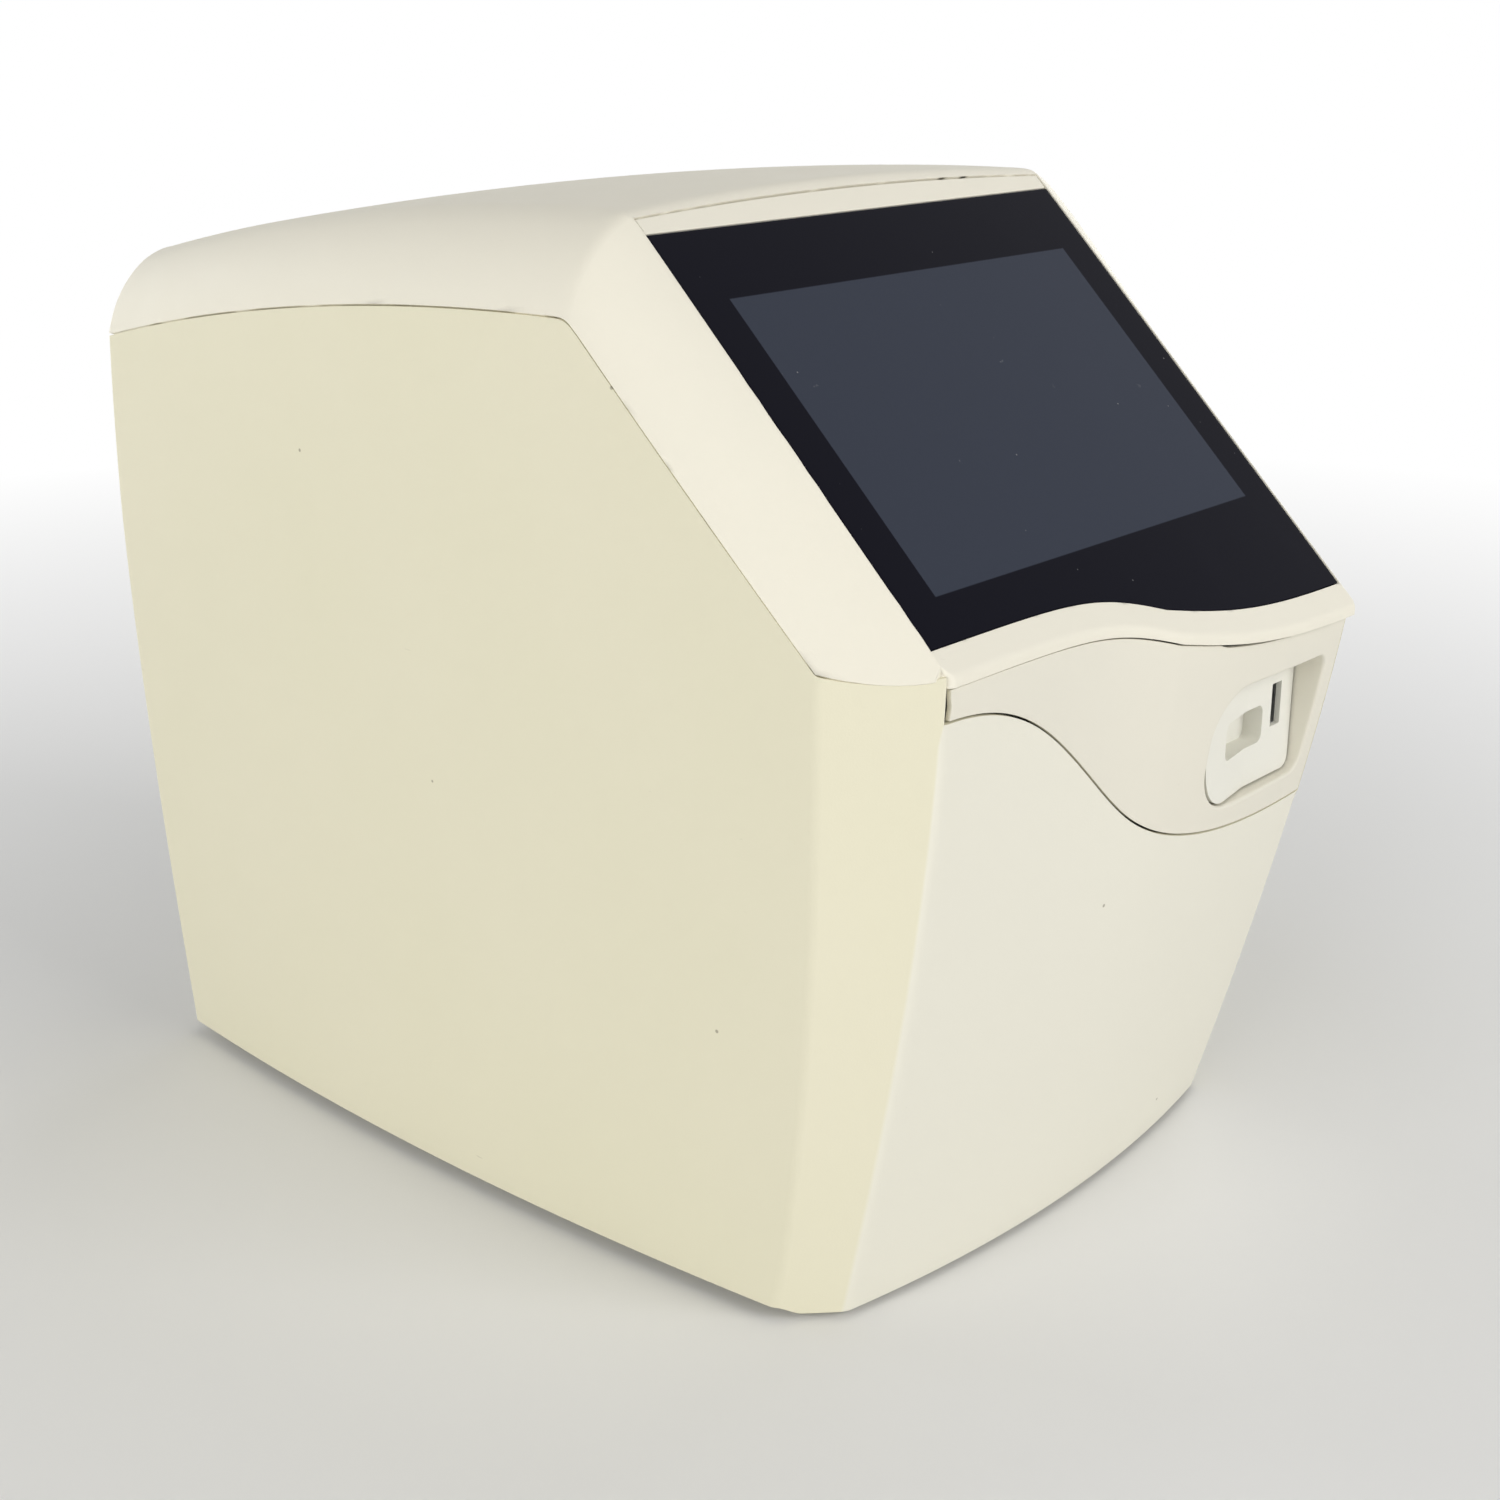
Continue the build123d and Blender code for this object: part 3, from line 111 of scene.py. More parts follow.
@dataclass(frozen=True)
class Form:
    """The closed form of the housing, as functions of height and depth. All sizes are millimetres."""

    rear_y: float = 185.4
    foot_height: float = 5.0
    belt_z: float = 215.0
    draw_height: float = 210.0
    belt_half_width: float = 127.0
    rear_draw_in: float = 13.0
    shoulder_draw_in: float = 1.4
    shoulder_span: float = 59.0
    cheek_half_width: float = 124.8
    cheek_draw_in: float = 6.0
    cheek_start_y: float = -140.0
    cheek_draw_back: float = 19.0
    side_bulge_low: float = 8.3
    side_bulge_high: float = 5.0
    front_half_width: float = 102.4
    front_left_y: float = -167.7
    front_left_back: float = 30.7
    front_right_y: float = -186.0
    front_right_back: float = 47.2
    front_bulge: float = 10.5
    swing_x: float = 6.0
    swing_left: float = 28.0
    swing_right: float = 45.0
    lip_proud: float = 0.9
    slope_angle: float = 44.55
    screen_y: float = -113.0
    screen_z: float = 269.3
    knee_y: float = -50.0
    crease_x: float = 102.5
    roof_fall: float = 5.1
    roof_crown: float = 3.5
    shoulder_drop: float = 27.5
    shoulder_sagitta: float = 4.2
    knee_blend: float = 1.3
    lip_height: float = 4.0
    lip_width: float = 8.5
    shoulder_hollow: float = -1.0
    hollow_y: float = -150.0
    full_bow_y: float = -58.0
    seam_gap: float = 0.6

    @property
    def slope(self) -> float:
        """Rise of the screen slope for each millimetre towards the back."""
        return math.tan(math.radians(self.slope_angle))

    @property
    def knee_z(self) -> float:
        """Height of the knee at the side creases."""
        return self.screen_z + (self.knee_y - self.screen_y) * self.slope

    def fall(self, z: Array, power: float) -> Array:
        """Share of the draw-in: a power of the depth below the belt over the draw height."""
        return (np.maximum(self.belt_z - z, 0.0) / self.draw_height) ** power

    def rear_half_width(self, z: Array) -> Array:
        """Half width of the rear face, narrowing below the belt and a little above it."""
        above = self.belt_half_width - self.shoulder_draw_in * ((z - self.belt_z) / self.shoulder_span) ** 2
        below = self.belt_half_width - self.rear_draw_in * self.fall(z, 1.5)
        return np.where(z > self.belt_z, above, below)

    def cheek_x(self, z: Array) -> Array:
        """Sideways place of the crease between side and cheek."""
        return self.cheek_half_width - self.cheek_draw_in * self.fall(z, 2)

    def cheek_y(self, z: Array) -> Array:
        """Depth of the crease between side and cheek."""
        return self.cheek_start_y + self.cheek_draw_back * self.fall(z, 2.6)

    def lift(self, z: Array) -> Array:
        """0 at the rim and 1 at the belt and above."""
        return np.clip((z - self.foot_height) / self.draw_height, 0.0, 1.0)

    def side_x(self, y: Array, z: Array) -> Array:
        """Half width at any place: a straight line from rear to cheek plus a parabola's bow."""
        share = (self.rear_y - y) / (self.rear_y - self.cheek_y(z))
        chord = self.rear_half_width(z) + (self.cheek_x(z) - self.rear_half_width(z)) * share
        bulge = self.side_bulge_low + (self.side_bulge_high - self.side_bulge_low) * self.lift(z)
        return chord + 4 * bulge * share * (1 - share)

    def front_y(self, x: Array, z: Array) -> Array:
        """The front face: bowed at the rim, and at the top swung forward on the right by a tanh."""
        left = self.front_left_y + self.front_left_back * self.fall(z, 1.6)
        right = self.front_right_y + self.front_right_back * self.fall(z, 1.3)
        lift = self.lift(z)
        reach = np.where(x < self.swing_x, self.swing_left, self.swing_right)
        swing = 0.5 * (1 + np.tanh((x - self.swing_x) / reach))
        straight = 0.5 + x / (2 * self.front_half_width)
        bow = self.front_bulge * (1 - lift) * (1 - (x / self.front_half_width) ** 2)
        return left + (right - left) * ((1 - lift) * straight + lift * swing) - bow

    def lip_bottom_z(self, x: Array) -> Array:
        """Lower edge of the lip: the height of the slope over the front face, less the lip's height."""
        crease = self.screen_z + (self.front_y(x, self.belt_z) - self.screen_y) * self.slope
        return crease - self.lip_height

    def glass_bottom(self, x: Array) -> Array:
        """Distance down the slope from the screen's centre to the glass's lower edge."""
        down = (self.screen_y - self.front_y(x, self.belt_z)) / math.cos(math.radians(self.slope_angle))
        return down - self.lip_width

    def roof_z(self, y: Array) -> Array:
        """Height of the roof's side crease: level at the knee and falling as the square behind it."""
        fall = self.roof_fall * (np.maximum(y - self.knee_y, 0.0) / 100) ** 2
        return self.knee_z - fall

    def slope_z(self, y: Array) -> Array:
        """Height of the plane of the screen."""
        return self.knee_z + (y - self.knee_y) * self.slope

    def crease_z(self, y: Array) -> Array:
        """Height of the crease between roof or slope and shoulder."""
        return smooth_least(self.roof_z(y), self.slope_z(y), self.knee_blend)

    def top_z(self, x: Array, y: Array) -> Array:
        """Height of roof and slope: the lower of the crowned roof and the flat slope, with a rounded knee."""
        crown = self.roof_crown * (1 - (x / self.crease_x) ** 2)
        return smooth_least(self.roof_z(y) + crown, self.slope_z(y), self.knee_blend)

    def side_seam_z(self, y: Array) -> Array:
        """Seam between cover and housing along the side, parallel to the crease above it."""
        behind = self.roof_z(y) - self.shoulder_drop
        before = self.knee_z - self.shoulder_drop + (y - self.knee_y) * self.slope
        return smooth_least(behind, before, self.knee_blend)

    def cheek_line_x(self, y: Array, corner_y: float) -> Array:
        """Half width along the top of a cheek: a straight line between its two creases."""
        share = (self.cheek_start_y - y) / (self.cheek_start_y - corner_y)
        return self.cheek_half_width + (self.front_half_width - self.cheek_half_width) * np.clip(share, 0, 1)

    def shoulder_bow(self, y: Array) -> Array:
        """Height of the shoulder's bow: full at the knee and slightly hollow at the cheeks."""
        full = smooth_step(y, self.hollow_y, self.full_bow_y)
        return self.shoulder_hollow + (self.shoulder_sagitta - self.shoulder_hollow) * full

    def shoulder(self, share: Array, y: Array) -> tuple[Array, Array]:
        """Half width and height on the rolled shoulder: a chord from crease to seam plus a parabola's bow."""
        top = self.crease_z(y)
        edge_x = self.side_x(y, top - self.shoulder_drop)
        run = edge_x - self.crease_x
        length = np.hypot(run, self.shoulder_drop)
        bow = 4 * self.shoulder_bow(y) * share * (1 - share)
        x = self.crease_x + run * share + bow * self.shoulder_drop / length
        z = top - self.shoulder_drop * share + bow * run / length
        return x, z

    def shoulder_limit(self, y: Array, corner_y: float) -> Array:
        """Share of the shoulder that a cheek leaves: the smaller root of chord plus bow, a parabola."""
        run = self.side_x(y, self.crease_z(y) - self.shoulder_drop) - self.crease_x
        bend = 4 * self.shoulder_bow(y) * self.shoulder_drop / np.hypot(run, self.shoulder_drop)
        reach = np.maximum(self.cheek_line_x(y, corner_y) - self.crease_x, 0.0)
        root = np.sqrt(np.maximum((run + bend) ** 2 - 4 * bend * reach, 0.0))
        limit = 2 * reach / (run + bend + root)
        return np.where(y < self.cheek_start_y, np.clip(limit, 0.0, 1.0), 1.0)


FORM = Form()


class Value:
    """A number socket of a shader that takes part in Python arithmetic."""

    def __init__(self, nodes: "Nodes", socket: bpy.types.NodeSocket) -> None:
        """Wraps the socket and keeps the tree that new nodes go into."""
        self.nodes = nodes
        self.socket = socket

    def _math(self, operation: str, *values: object) -> "Value":
        """Adds one Math node on the given values."""
        made = self.nodes.node("ShaderNodeMath", {"operation": operation}, dict(enumerate(values)))
        return Value(self.nodes, made.outputs[0])

    def __add__(self, other: object) -> "Value":
        """Sum."""
        return self._math("ADD", self, other)

    __radd__ = __add__

    def __mul__(self, other: object) -> "Value":
        """Product."""
        return self._math("MULTIPLY", self, other)

    __rmul__ = __mul__

    def __sub__(self, other: object) -> "Value":
        """Difference."""
        return self._math("SUBTRACT", self, other)

    def __rsub__(self, other: object) -> "Value":
        """Difference, the other way round."""
        return self._math("SUBTRACT", other, self)

    def __truediv__(self, other: object) -> "Value":
        """Quotient."""
        return self._math("DIVIDE", self, other)

    def above(self, limit: float, width: float) -> "Value":
        """0 well below the limit and 1 well above it, with a ramp of that width between."""
        return ((self - (limit - width / 2)) / width).clamped()

    def clamped(self) -> "Value":
        """The value kept between 0 and 1."""
        return self._math("MAXIMUM", self._math("MINIMUM", self, 1.0), 0.0)

    def size(self) -> "Value":
        """The value without its sign."""
        return self._math("ABSOLUTE", self)

    def fraction(self) -> "Value":
        """What is left of the value above its whole number."""
        return self._math("FRACT", self)

    def root(self) -> "Value":
        """Square root."""
        return self._math("SQRT", self)


class Nodes:
    """The node tree of one material, with its shader and its coordinates in millimetres."""

    def __init__(self, name: str, world: bpy.types.World | None = None) -> None:
        """Makes a material with a Principled shader on its output, or takes the empty tree of a world."""
        self.material = world or bpy.data.materials.new(name)
        self.material.use_nodes = True
        self.tree = self.material.node_tree
        self.tree.nodes.clear()
        if world:
            return
        self.shader = self.node("ShaderNodeBsdfPrincipled", {}, {})
        self.output = self.node("ShaderNodeOutputMaterial", {}, {})
        self.tree.links.new(self.shader.outputs[0], self.output.inputs[0])
        self.place = self.node("ShaderNodeTexCoord", {}, {}).outputs["Object"]

    def node(self, kind: str, settings: dict[str, object], inputs: dict[object, object]) -> bpy.types.Node:
        """Adds a node.

        Args:
            kind: the node's type.
            settings: its own properties, set first.
            inputs: values, sockets or Values for its sockets, by name or number.

        Returns:
            The new node.
        """
        made = self.tree.nodes.new(kind)
        for key, value in settings.items():
            setattr(made, key, value)
        for key, value in inputs.items():
            self.feed(made.inputs[key], value)
        return made

    def feed(self, socket: bpy.types.NodeSocket, value: object) -> None:
        """Links a socket to a Value or another socket, or sets it to a number, vector or colour."""
        source = value.socket if isinstance(value, Value) else value
        if isinstance(source, bpy.types.NodeSocket):
            self.tree.links.new(source, socket)
        else:
            socket.default_value = source

    def set(self, **values: object) -> None:
        """Sets or links sockets of the shader; an underscore in a name stands for a space."""
        for key, value in values.items():
            self.feed(self.shader.inputs[key.replace("_", " ")], value)

    def stretched(self, scale: Sequence[float]) -> bpy.types.NodeSocket:
        """The coordinates, stretched along the axes."""
        inputs = {"Vector": self.place, "Scale": tuple(scale)}
        return self.node("ShaderNodeMapping", {}, inputs).outputs[0]

    def noise(self, size: float, detail: float = 2.0, stretch: Sequence[float] = (1, 1, 1)) -> Value:
        """Soft noise whose features are about size millimetres across."""
        inputs = {"Vector": self.stretched(stretch), "Scale": 1 / (size * MM), "Detail": detail}
        return Value(self, self.node("ShaderNodeTexNoise", {}, inputs).outputs["Fac"])

    def cells(self, size: float, stretch: Sequence[float] = (1, 1, 1)) -> Value:
        """Distance to the nearest of points strewn about size millimetres apart, as a share of that size."""
        inputs = {"Vector": self.stretched(stretch), "Scale": 1 / (size * MM)}
        return Value(self, self.node("ShaderNodeTexVoronoi", {}, inputs).outputs["Distance"])

    def parts(self, vector: bpy.types.NodeSocket) -> tuple[Value, ...]:
        """The three components of a vector."""
        split = self.node("ShaderNodeSeparateXYZ", {}, {0: vector})
        return tuple(Value(self, part) for part in split.outputs)

    def facing_front(self, limit: float = 0.79, ramp: float = 0.1) -> Value:
        """1 where the surface looks towards the front, and 0 on cheeks and sides."""
        normal = self.node("ShaderNodeNewGeometry", {}, {}).outputs["Normal"]
        return (self.parts(normal)[1] * -1).above(limit, ramp)

    def mix(self, share: Value, first: object, second: object) -> bpy.types.NodeSocket:
        """A colour between two, by the share."""
        inputs = {"Factor": share, 6: rgba(first), 7: rgba(second)}
        return self.node("ShaderNodeMix", {"data_type": "RGBA"}, inputs).outputs[2]

    def bump(self, height: Value, depth: float, strength: float = 1.0) -> None:
        """Raises the surface by a height of 1 to depth millimetres."""
        inputs = {"Height": height, "Distance": depth * MM, "Strength": strength}
        self.set(Normal=self.node("ShaderNodeBump", {}, inputs).outputs[0])


def rgba(colour: object) -> object:
    """Adds the alpha that a colour socket needs; a link passes unchanged."""
    return (*colour, 1.0) if isinstance(colour, tuple) and len(colour) == 3 else colour


class Finish:
    """A surface finish that makes its own material."""

    name: str

    def build(self) -> bpy.types.Material:
        """Makes the material."""
        raise NotImplementedError


@dataclass(frozen=True)
class MouldedPlastic(Finish):
    """Spark-eroded ABS that has yellowed a little, with faint mottling, small scuffs and a few specks; where
    a front colour is given, faces towards the front are painted lighter, partly as painted light and partly
    as less yellowing.
    """

    name: str
    colour: Colour
    aged: Colour
    mark: Colour = (0.30, 0.27, 0.20)
    roughness: float = 0.58
    specular: float = 0.28
    cloud_size: float = 95.0
    patch_size: float = 14.0
    grain_size: float = 0.55
    grain_depth: float = 0.035
    speck_spacing: float = 36.0
    speck_share: float = 0.016
    scuff_size: float = 5.5
    scuff_area: float = 48.0
    marked: bool = True
    front_lit_and_unyellowed: Colour | None = None

    def build(self) -> bpy.types.Material:
        """Makes the material."""
        nodes = Nodes(self.name)
        fine = nodes.noise(self.grain_size)
        colour = nodes.mix(nodes.noise(self.cloud_size, 3.0).above(0.5, 0.5), self.colour, self.aged)
        # Faces towards the front are painted lighter: partly painted light falling on the front, partly
        # plastic that has yellowed less.
        if self.front_lit_and_unyellowed:
            colour = nodes.mix(nodes.facing_front(), colour, self.front_lit_and_unyellowed)
        roughness = self.roughness + (nodes.noise(self.patch_size, 4.0) - 0.5) * 0.16 + (fine - 0.5) * 0.06
        height = fine
        if self.marked:
            marks = self.marks(nodes)
            colour = nodes.mix(marks, colour, self.mark)
            roughness = roughness + marks * 0.2
            height = height - marks * 1.2
        nodes.set(Base_Color=colour, Roughness=roughness, Specular_IOR_Level=self.specular)
        nodes.bump(height, self.grain_depth)
        return nodes.material

    def marks(self, nodes: Nodes) -> Value:
        """Strewn specks, and short scuffs in a few areas."""
        specks = 1 - nodes.cells(self.speck_spacing).above(self.speck_share, self.speck_share / 2)
        strokes = nodes.noise(self.scuff_size, 5.0, (1.0, 0.32, 2.6)).above(0.745, 0.02)
        scuffs = strokes * nodes.noise(self.scuff_area).above(0.60, 0.06)
        return (specks * 0.75 + scuffs * 0.30).clamped()


@dataclass(frozen=True)
class TouchGlass(Finish):
    """Black-backed glass over the switched-off display, with smudges, dust and hairline scratches."""

    name: str
    border: Colour
    display: Colour
    display_half_width: float = 86.1
    display_half_height: float = 53.8
    display_edge: float = 0.4
    dust_colour: Colour = (0.42, 0.42, 0.42)

    def build(self) -> bpy.types.Material:
        """Makes the material."""
        nodes = Nodes(self.name)
        x, y, z = nodes.parts(nodes.place)
        angle = math.radians(FORM.slope_angle)
        up = (y - FORM.screen_y * MM) * math.cos(angle) + (z - FORM.screen_z * MM) * math.sin(angle)
        wide = 1 - x.size().above(self.display_half_width * MM, self.display_edge * MM)
        tall = 1 - up.size().above(self.display_half_height * MM, self.display_edge * MM)
        colour = nodes.mix(wide * tall, self.border, self.display)
        dust = 1 - nodes.cells(7.0).above(0.035, 0.02)
        sparse = nodes.noise(30.0).above(0.55, 0.05)
        streaks = nodes.noise(9.0, 4.0, (1.0, 0.12, 1.6)).above(0.73, 0.012)
        marks = (dust * sparse * 0.5 + streaks * sparse * 0.22).clamped()
        colour = nodes.mix(marks, colour, self.dust_colour)
        smudge = nodes.noise(24.0, 5.0, (1.0, 0.6, 0.6)).above(0.56, 0.2)
        nodes.set(Base_Color=colour, Roughness=0.05 + smudge * 0.07 + marks * 0.3, Specular_IOR_Level=0.03)
        nodes.bump(nodes.noise(60.0, 1.0), 0.02)
        return nodes.material


@dataclass(frozen=True)
class Metal(Finish):
    """Metal with a fine brushed, rolled or turned grain, slight stain and a few bright rubs."""

    name: str
    colour: Colour
    dark: Colour
    roughness: float = 0.32
    metallic: float = 1.0
    grain: float = 0.9
    stretch: tuple[float, float, float] = (0.06, 1.0, 1.0)
    depth: float = 0.012

    def build(self) -> bpy.types.Material:
        """Makes the material."""
        nodes = Nodes(self.name)
        brushed = nodes.noise(self.grain, 3.0, self.stretch)
        stain = nodes.noise(22.0, 4.0)
        colour = nodes.mix(stain.above(0.55, 0.35) * 0.7 + brushed * 0.3, self.colour, self.dark)
        roughness = self.roughness + (brushed - 0.5) * 0.18 + (stain - 0.5) * 0.12
        nodes.set(Base_Color=colour, Roughness=roughness, Metallic=self.metallic)
        nodes.bump(brushed, self.depth)
        return nodes.material


@dataclass(frozen=True)
class Coated(Finish):
    """Paint, rubber or black plastic with orange-peel or grain, dust in the hollows and worn high spots."""

    name: str
    colour: Colour
    worn: Colour
    roughness: float = 0.5
    grain: float = 0.8
    depth: float = 0.03
    wear: float = 0.5

    def build(self) -> bpy.types.Material:
        """Makes the material."""
        nodes = Nodes(self.name)
        grain = nodes.noise(self.grain, 3.0)
        dust = nodes.noise(12.0, 5.0).above(0.6, 0.25)
        colour = nodes.mix(dust * self.wear, self.colour, self.worn)
        nodes.set(Base_Color=colour, Roughness=self.roughness + (grain - 0.5) * 0.12 + dust * 0.08)
        nodes.bump(grain, self.depth)
        return nodes.material


@dataclass(frozen=True)
class CircuitBoard(Finish):
    """Green solder mask over copper tracks, with bright pads."""

    name: str
    mask: Colour = (0.012, 0.085, 0.035)
    track: Colour = (0.035, 0.17, 0.07)
    pad: Colour = (0.62, 0.60, 0.52)

    def build(self) -> bpy.types.Material:
        """Makes the material."""
        nodes = Nodes(self.name)
        x, y, _ = nodes.parts(nodes.place)
        warp = nodes.noise(16.0, 0.0)
        across = ((x * 420 + warp * 5).fraction() - 0.5).size()
        along = ((y * 300 + warp * 7).fraction() - 0.5).size()
        tracks = ((1 - across.above(0.14, 0.05)) + (1 - along.above(0.12, 0.05))).clamped()
        pads = 1 - nodes.cells(4.5).above(0.17, 0.03)
        colour = nodes.mix(pads, nodes.mix(tracks, self.mask, self.track), self.pad)
        nodes.set(Base_Color=colour, Roughness=0.32 + pads * 0.1, Metallic=pads * 0.8)
        nodes.bump(tracks * 0.5 + pads, 0.04)
        return nodes.material


@dataclass(frozen=True)
class LensGlass(Finish):
    """Polished clear glass with a faint coating tint."""

    name: str
    tint: Colour = (0.86, 0.93, 0.97)

    def build(self) -> bpy.types.Material:
        """Makes the material."""
        nodes = Nodes(self.name)
        film = nodes.noise(6.0, 2.0)
        nodes.set(Base_Color=nodes.mix(film, self.tint, (0.78, 0.84, 0.95)), Roughness=0.02 + film * 0.03)
        nodes.set(Transmission_Weight=0.9, IOR=1.5)
        return nodes.material


class Surface(Enum):
    """Every finish of the instrument."""

    COVER = MouldedPlastic("cover_moulding", (0.82, 0.79, 0.68), (0.835, 0.80, 0.69))
    # The housing's front faces get a lighter colour: partly painted light on the front, partly less
    # yellowing.
    HOUSING = MouldedPlastic("housing_moulding", (0.76, 0.73, 0.56), (0.775, 0.74, 0.58),
                             front_lit_and_unyellowed=(0.80, 0.78, 0.68))
    PANEL = MouldedPlastic("panel_moulding", (0.76, 0.735, 0.64), (0.78, 0.75, 0.65))
    TUB = MouldedPlastic("tub_moulding", (0.80, 0.79, 0.72), (0.81, 0.80, 0.72),
                         grain_depth=0.02, marked=False)
    GLASS = TouchGlass("touch_glass", (0.0045, 0.0045, 0.0100), (0.040, 0.047, 0.068))
    DISPLAY = Coated("display_back", (0.02, 0.022, 0.026), (0.05, 0.05, 0.05), 0.3)
    SHEET = Metal("zinc_sheet", (0.60, 0.61, 0.60), (0.42, 0.43, 0.44), 0.36, stretch=(1.0, 1.0, 0.08))
    PAINTED = Coated("painted_sheet", (0.70, 0.68, 0.60), (0.62, 0.60, 0.52), 0.45, 1.6, 0.05, 0.3)
    ALUMINIUM = Metal("milled_aluminium", (0.74, 0.75, 0.76), (0.58, 0.59, 0.61), 0.30)
    STEEL = Metal("ground_steel", (0.70, 0.70, 0.71), (0.52, 0.52, 0.54), 0.16, stretch=(0.3, 0.05, 1.0))
    ANODISED = Metal("black_anodised", (0.022, 0.022, 0.025), (0.05, 0.05, 0.055), 0.38, 0.55)
    BLACK = Coated("black_plastic", (0.014, 0.014, 0.015), (0.045, 0.044, 0.042), 0.42)
    BRONZE = Metal("turned_bronze", (0.62, 0.40, 0.18), (0.36, 0.22, 0.10), 0.3)
    RUBBER = Coated("foot_rubber", (0.016, 0.016, 0.016), (0.06, 0.058, 0.055), 0.75, 1.0, 0.08, 0.7)
    BOARD = CircuitBoard("circuit_board")
    LENS = LensGlass("lens_glass")
    MIRROR = Metal("mirror_coating", (0.88, 0.88, 0.90), (0.80, 0.80, 0.84), 0.03, depth=0.0)


NODE_SURFACES: dict[Surface, tuple[str, ...]] = {
    Surface.COVER: ("upper_cover", "display_band"),
    Surface.HOUSING: ("lower_housing",),
    Surface.PANEL: ("drawer_panel",),
    Surface.TUB: ("inner_fascia",),
    Surface.GLASS: ("touch_glass",),
    Surface.DISPLAY: ("display_module",),
    Surface.SHEET: ("display_bracket", "usb_socket", "panel_bracket", "power_supply", "data_sockets"),
    Surface.PAINTED: ("base_plate", "rear_panel"),
    Surface.ALUMINIUM: ("bench_posts", "optical_bench", "rod_posts", "drawer_bushes", "scan_blocks"),
    Surface.STEEL: ("foot_screws", "drawer_rods", "scan_rods", "drawer_screw", "scan_screw", "cross_rods",
                    "cross_screw", "rear_screws", "fan_guard", "fan_screws"),
    Surface.ANODISED: ("plate_tray", "scan_arm", "lamp_housing", "spectrometer_case", "spectrometer_lid",
                       "drawer_motor", "scan_motor", "cross_motor"),
    Surface.BLACK: ("home_sensor", "fan_frame", "fan_rotor", "mains_inlet", "switch_frame", "power_rocker"),
    Surface.BRONZE: ("drawer_nut", "scan_nut", "cross_nut", "board_spacers"),
    Surface.RUBBER: ("rubber_feet",),
    Surface.BOARD: ("sensor_board", "main_board"),
    Surface.LENS: ("sample_lenses", "lamp_lens", "flash_lamp"),
    Surface.MIRROR: ("fold_mirrors", "diffraction_grating"),
}


@dataclass
class Patch:
    """A grid of points, rows by columns by 3, in millimetres, with the cells that are left out."""

    points: Array
    gaps: Array | None = None


def join_patches(name: str, patches: Sequence[Patch], merge: float = 0.01) -> bpy.types.Object:
    """Makes one mesh from grids that share their edges.

    The cells of each grid become quads, double points closer than merge millimetres become one, cells that
    have shrunk to a line go, and all faces are turned to point away from the middle of the instrument.

    Args:
        name: the piece's name.
        patches: the grids.
        merge: greatest distance between points that are one.

    Returns:
        The new object, linked to the scene.
    """
    points, faces, start = [], [], 0
    for patch in patches:
        rows, columns = patch.points.shape[:2]
        index = np.arange(rows * columns).reshape(rows, columns) + start
        cell = np.stack([index[:-1, :-1], index[:-1, 1:], index[1:, 1:], index[1:, :-1]], axis=-1)
        keep = np.ones(cell.shape[:2], bool) if patch.gaps is None else ~patch.gaps
        faces.append(cell[keep])
        points.append(patch.points.reshape(-1, 3))
        start += rows * columns
    mesh = bpy.data.meshes.new(name)
    mesh.from_pydata((np.concatenate(points) * MM).tolist(), [], np.concatenate(faces).tolist())
    work = bmesh.new()
    work.from_mesh(mesh)
    bmesh.ops.remove_doubles(work, verts=work.verts, dist=merge * MM)
    bmesh.ops.dissolve_degenerate(work, dist=merge * MM * 0.5, edges=work.edges)
    bmesh.ops.recalc_face_normals(work, faces=work.faces)
    outward = sum(f.normal.dot(f.calc_center_median() - MIDDLE) * f.calc_area() for f in work.faces)
    if outward < 0:
        bmesh.ops.reverse_faces(work, faces=work.faces)
    work.to_mesh(mesh)
    work.free()
    made = bpy.data.objects.new(name, mesh)
    bpy.context.scene.collection.objects.link(made)
    return made


def finish_shell(shell: bpy.types.Object, wall: float, edge: float, surface: Surface) -> None:
    """Gives a skin its wall, rounds its rims and dresses it.

    Args:
        shell: the open skin.
        wall: thickness towards the inside, in millimetres.
        edge: radius of the rims, in millimetres.
        surface: its finish.
    """
    shell.data.polygons.foreach_set("use_smooth", np.ones(len(shell.data.polygons), bool))
    solid = shell.modifiers.new("wall", "SOLIDIFY")
    solid.thickness = wall * MM
    solid.offset = -1.0
    solid.use_even_offset = False
    bevel = shell.modifiers.new("rims", "BEVEL")
    bevel.width = edge * MM
    bevel.segments = RIM_SEGMENTS
    bevel.limit_method = "ANGLE"
    bevel.angle_limit = math.radians(RIM_ANGLE)
    bevel.use_clamp_overlap = True
    weighted = shell.modifiers.new("shading", "WEIGHTED_NORMAL")
    weighted.keep_sharp = True
    shell.data.materials.clear()
    shell.data.materials.append(MATERIALS[surface])


class Stretch(Enum):
    """Stretches of one side's plan, from the rear opening to the middle of the front corner."""

    REAR, REAR_CORNER, SIDE, CREASE, CHEEK, FRONT_CORNER = range(6)


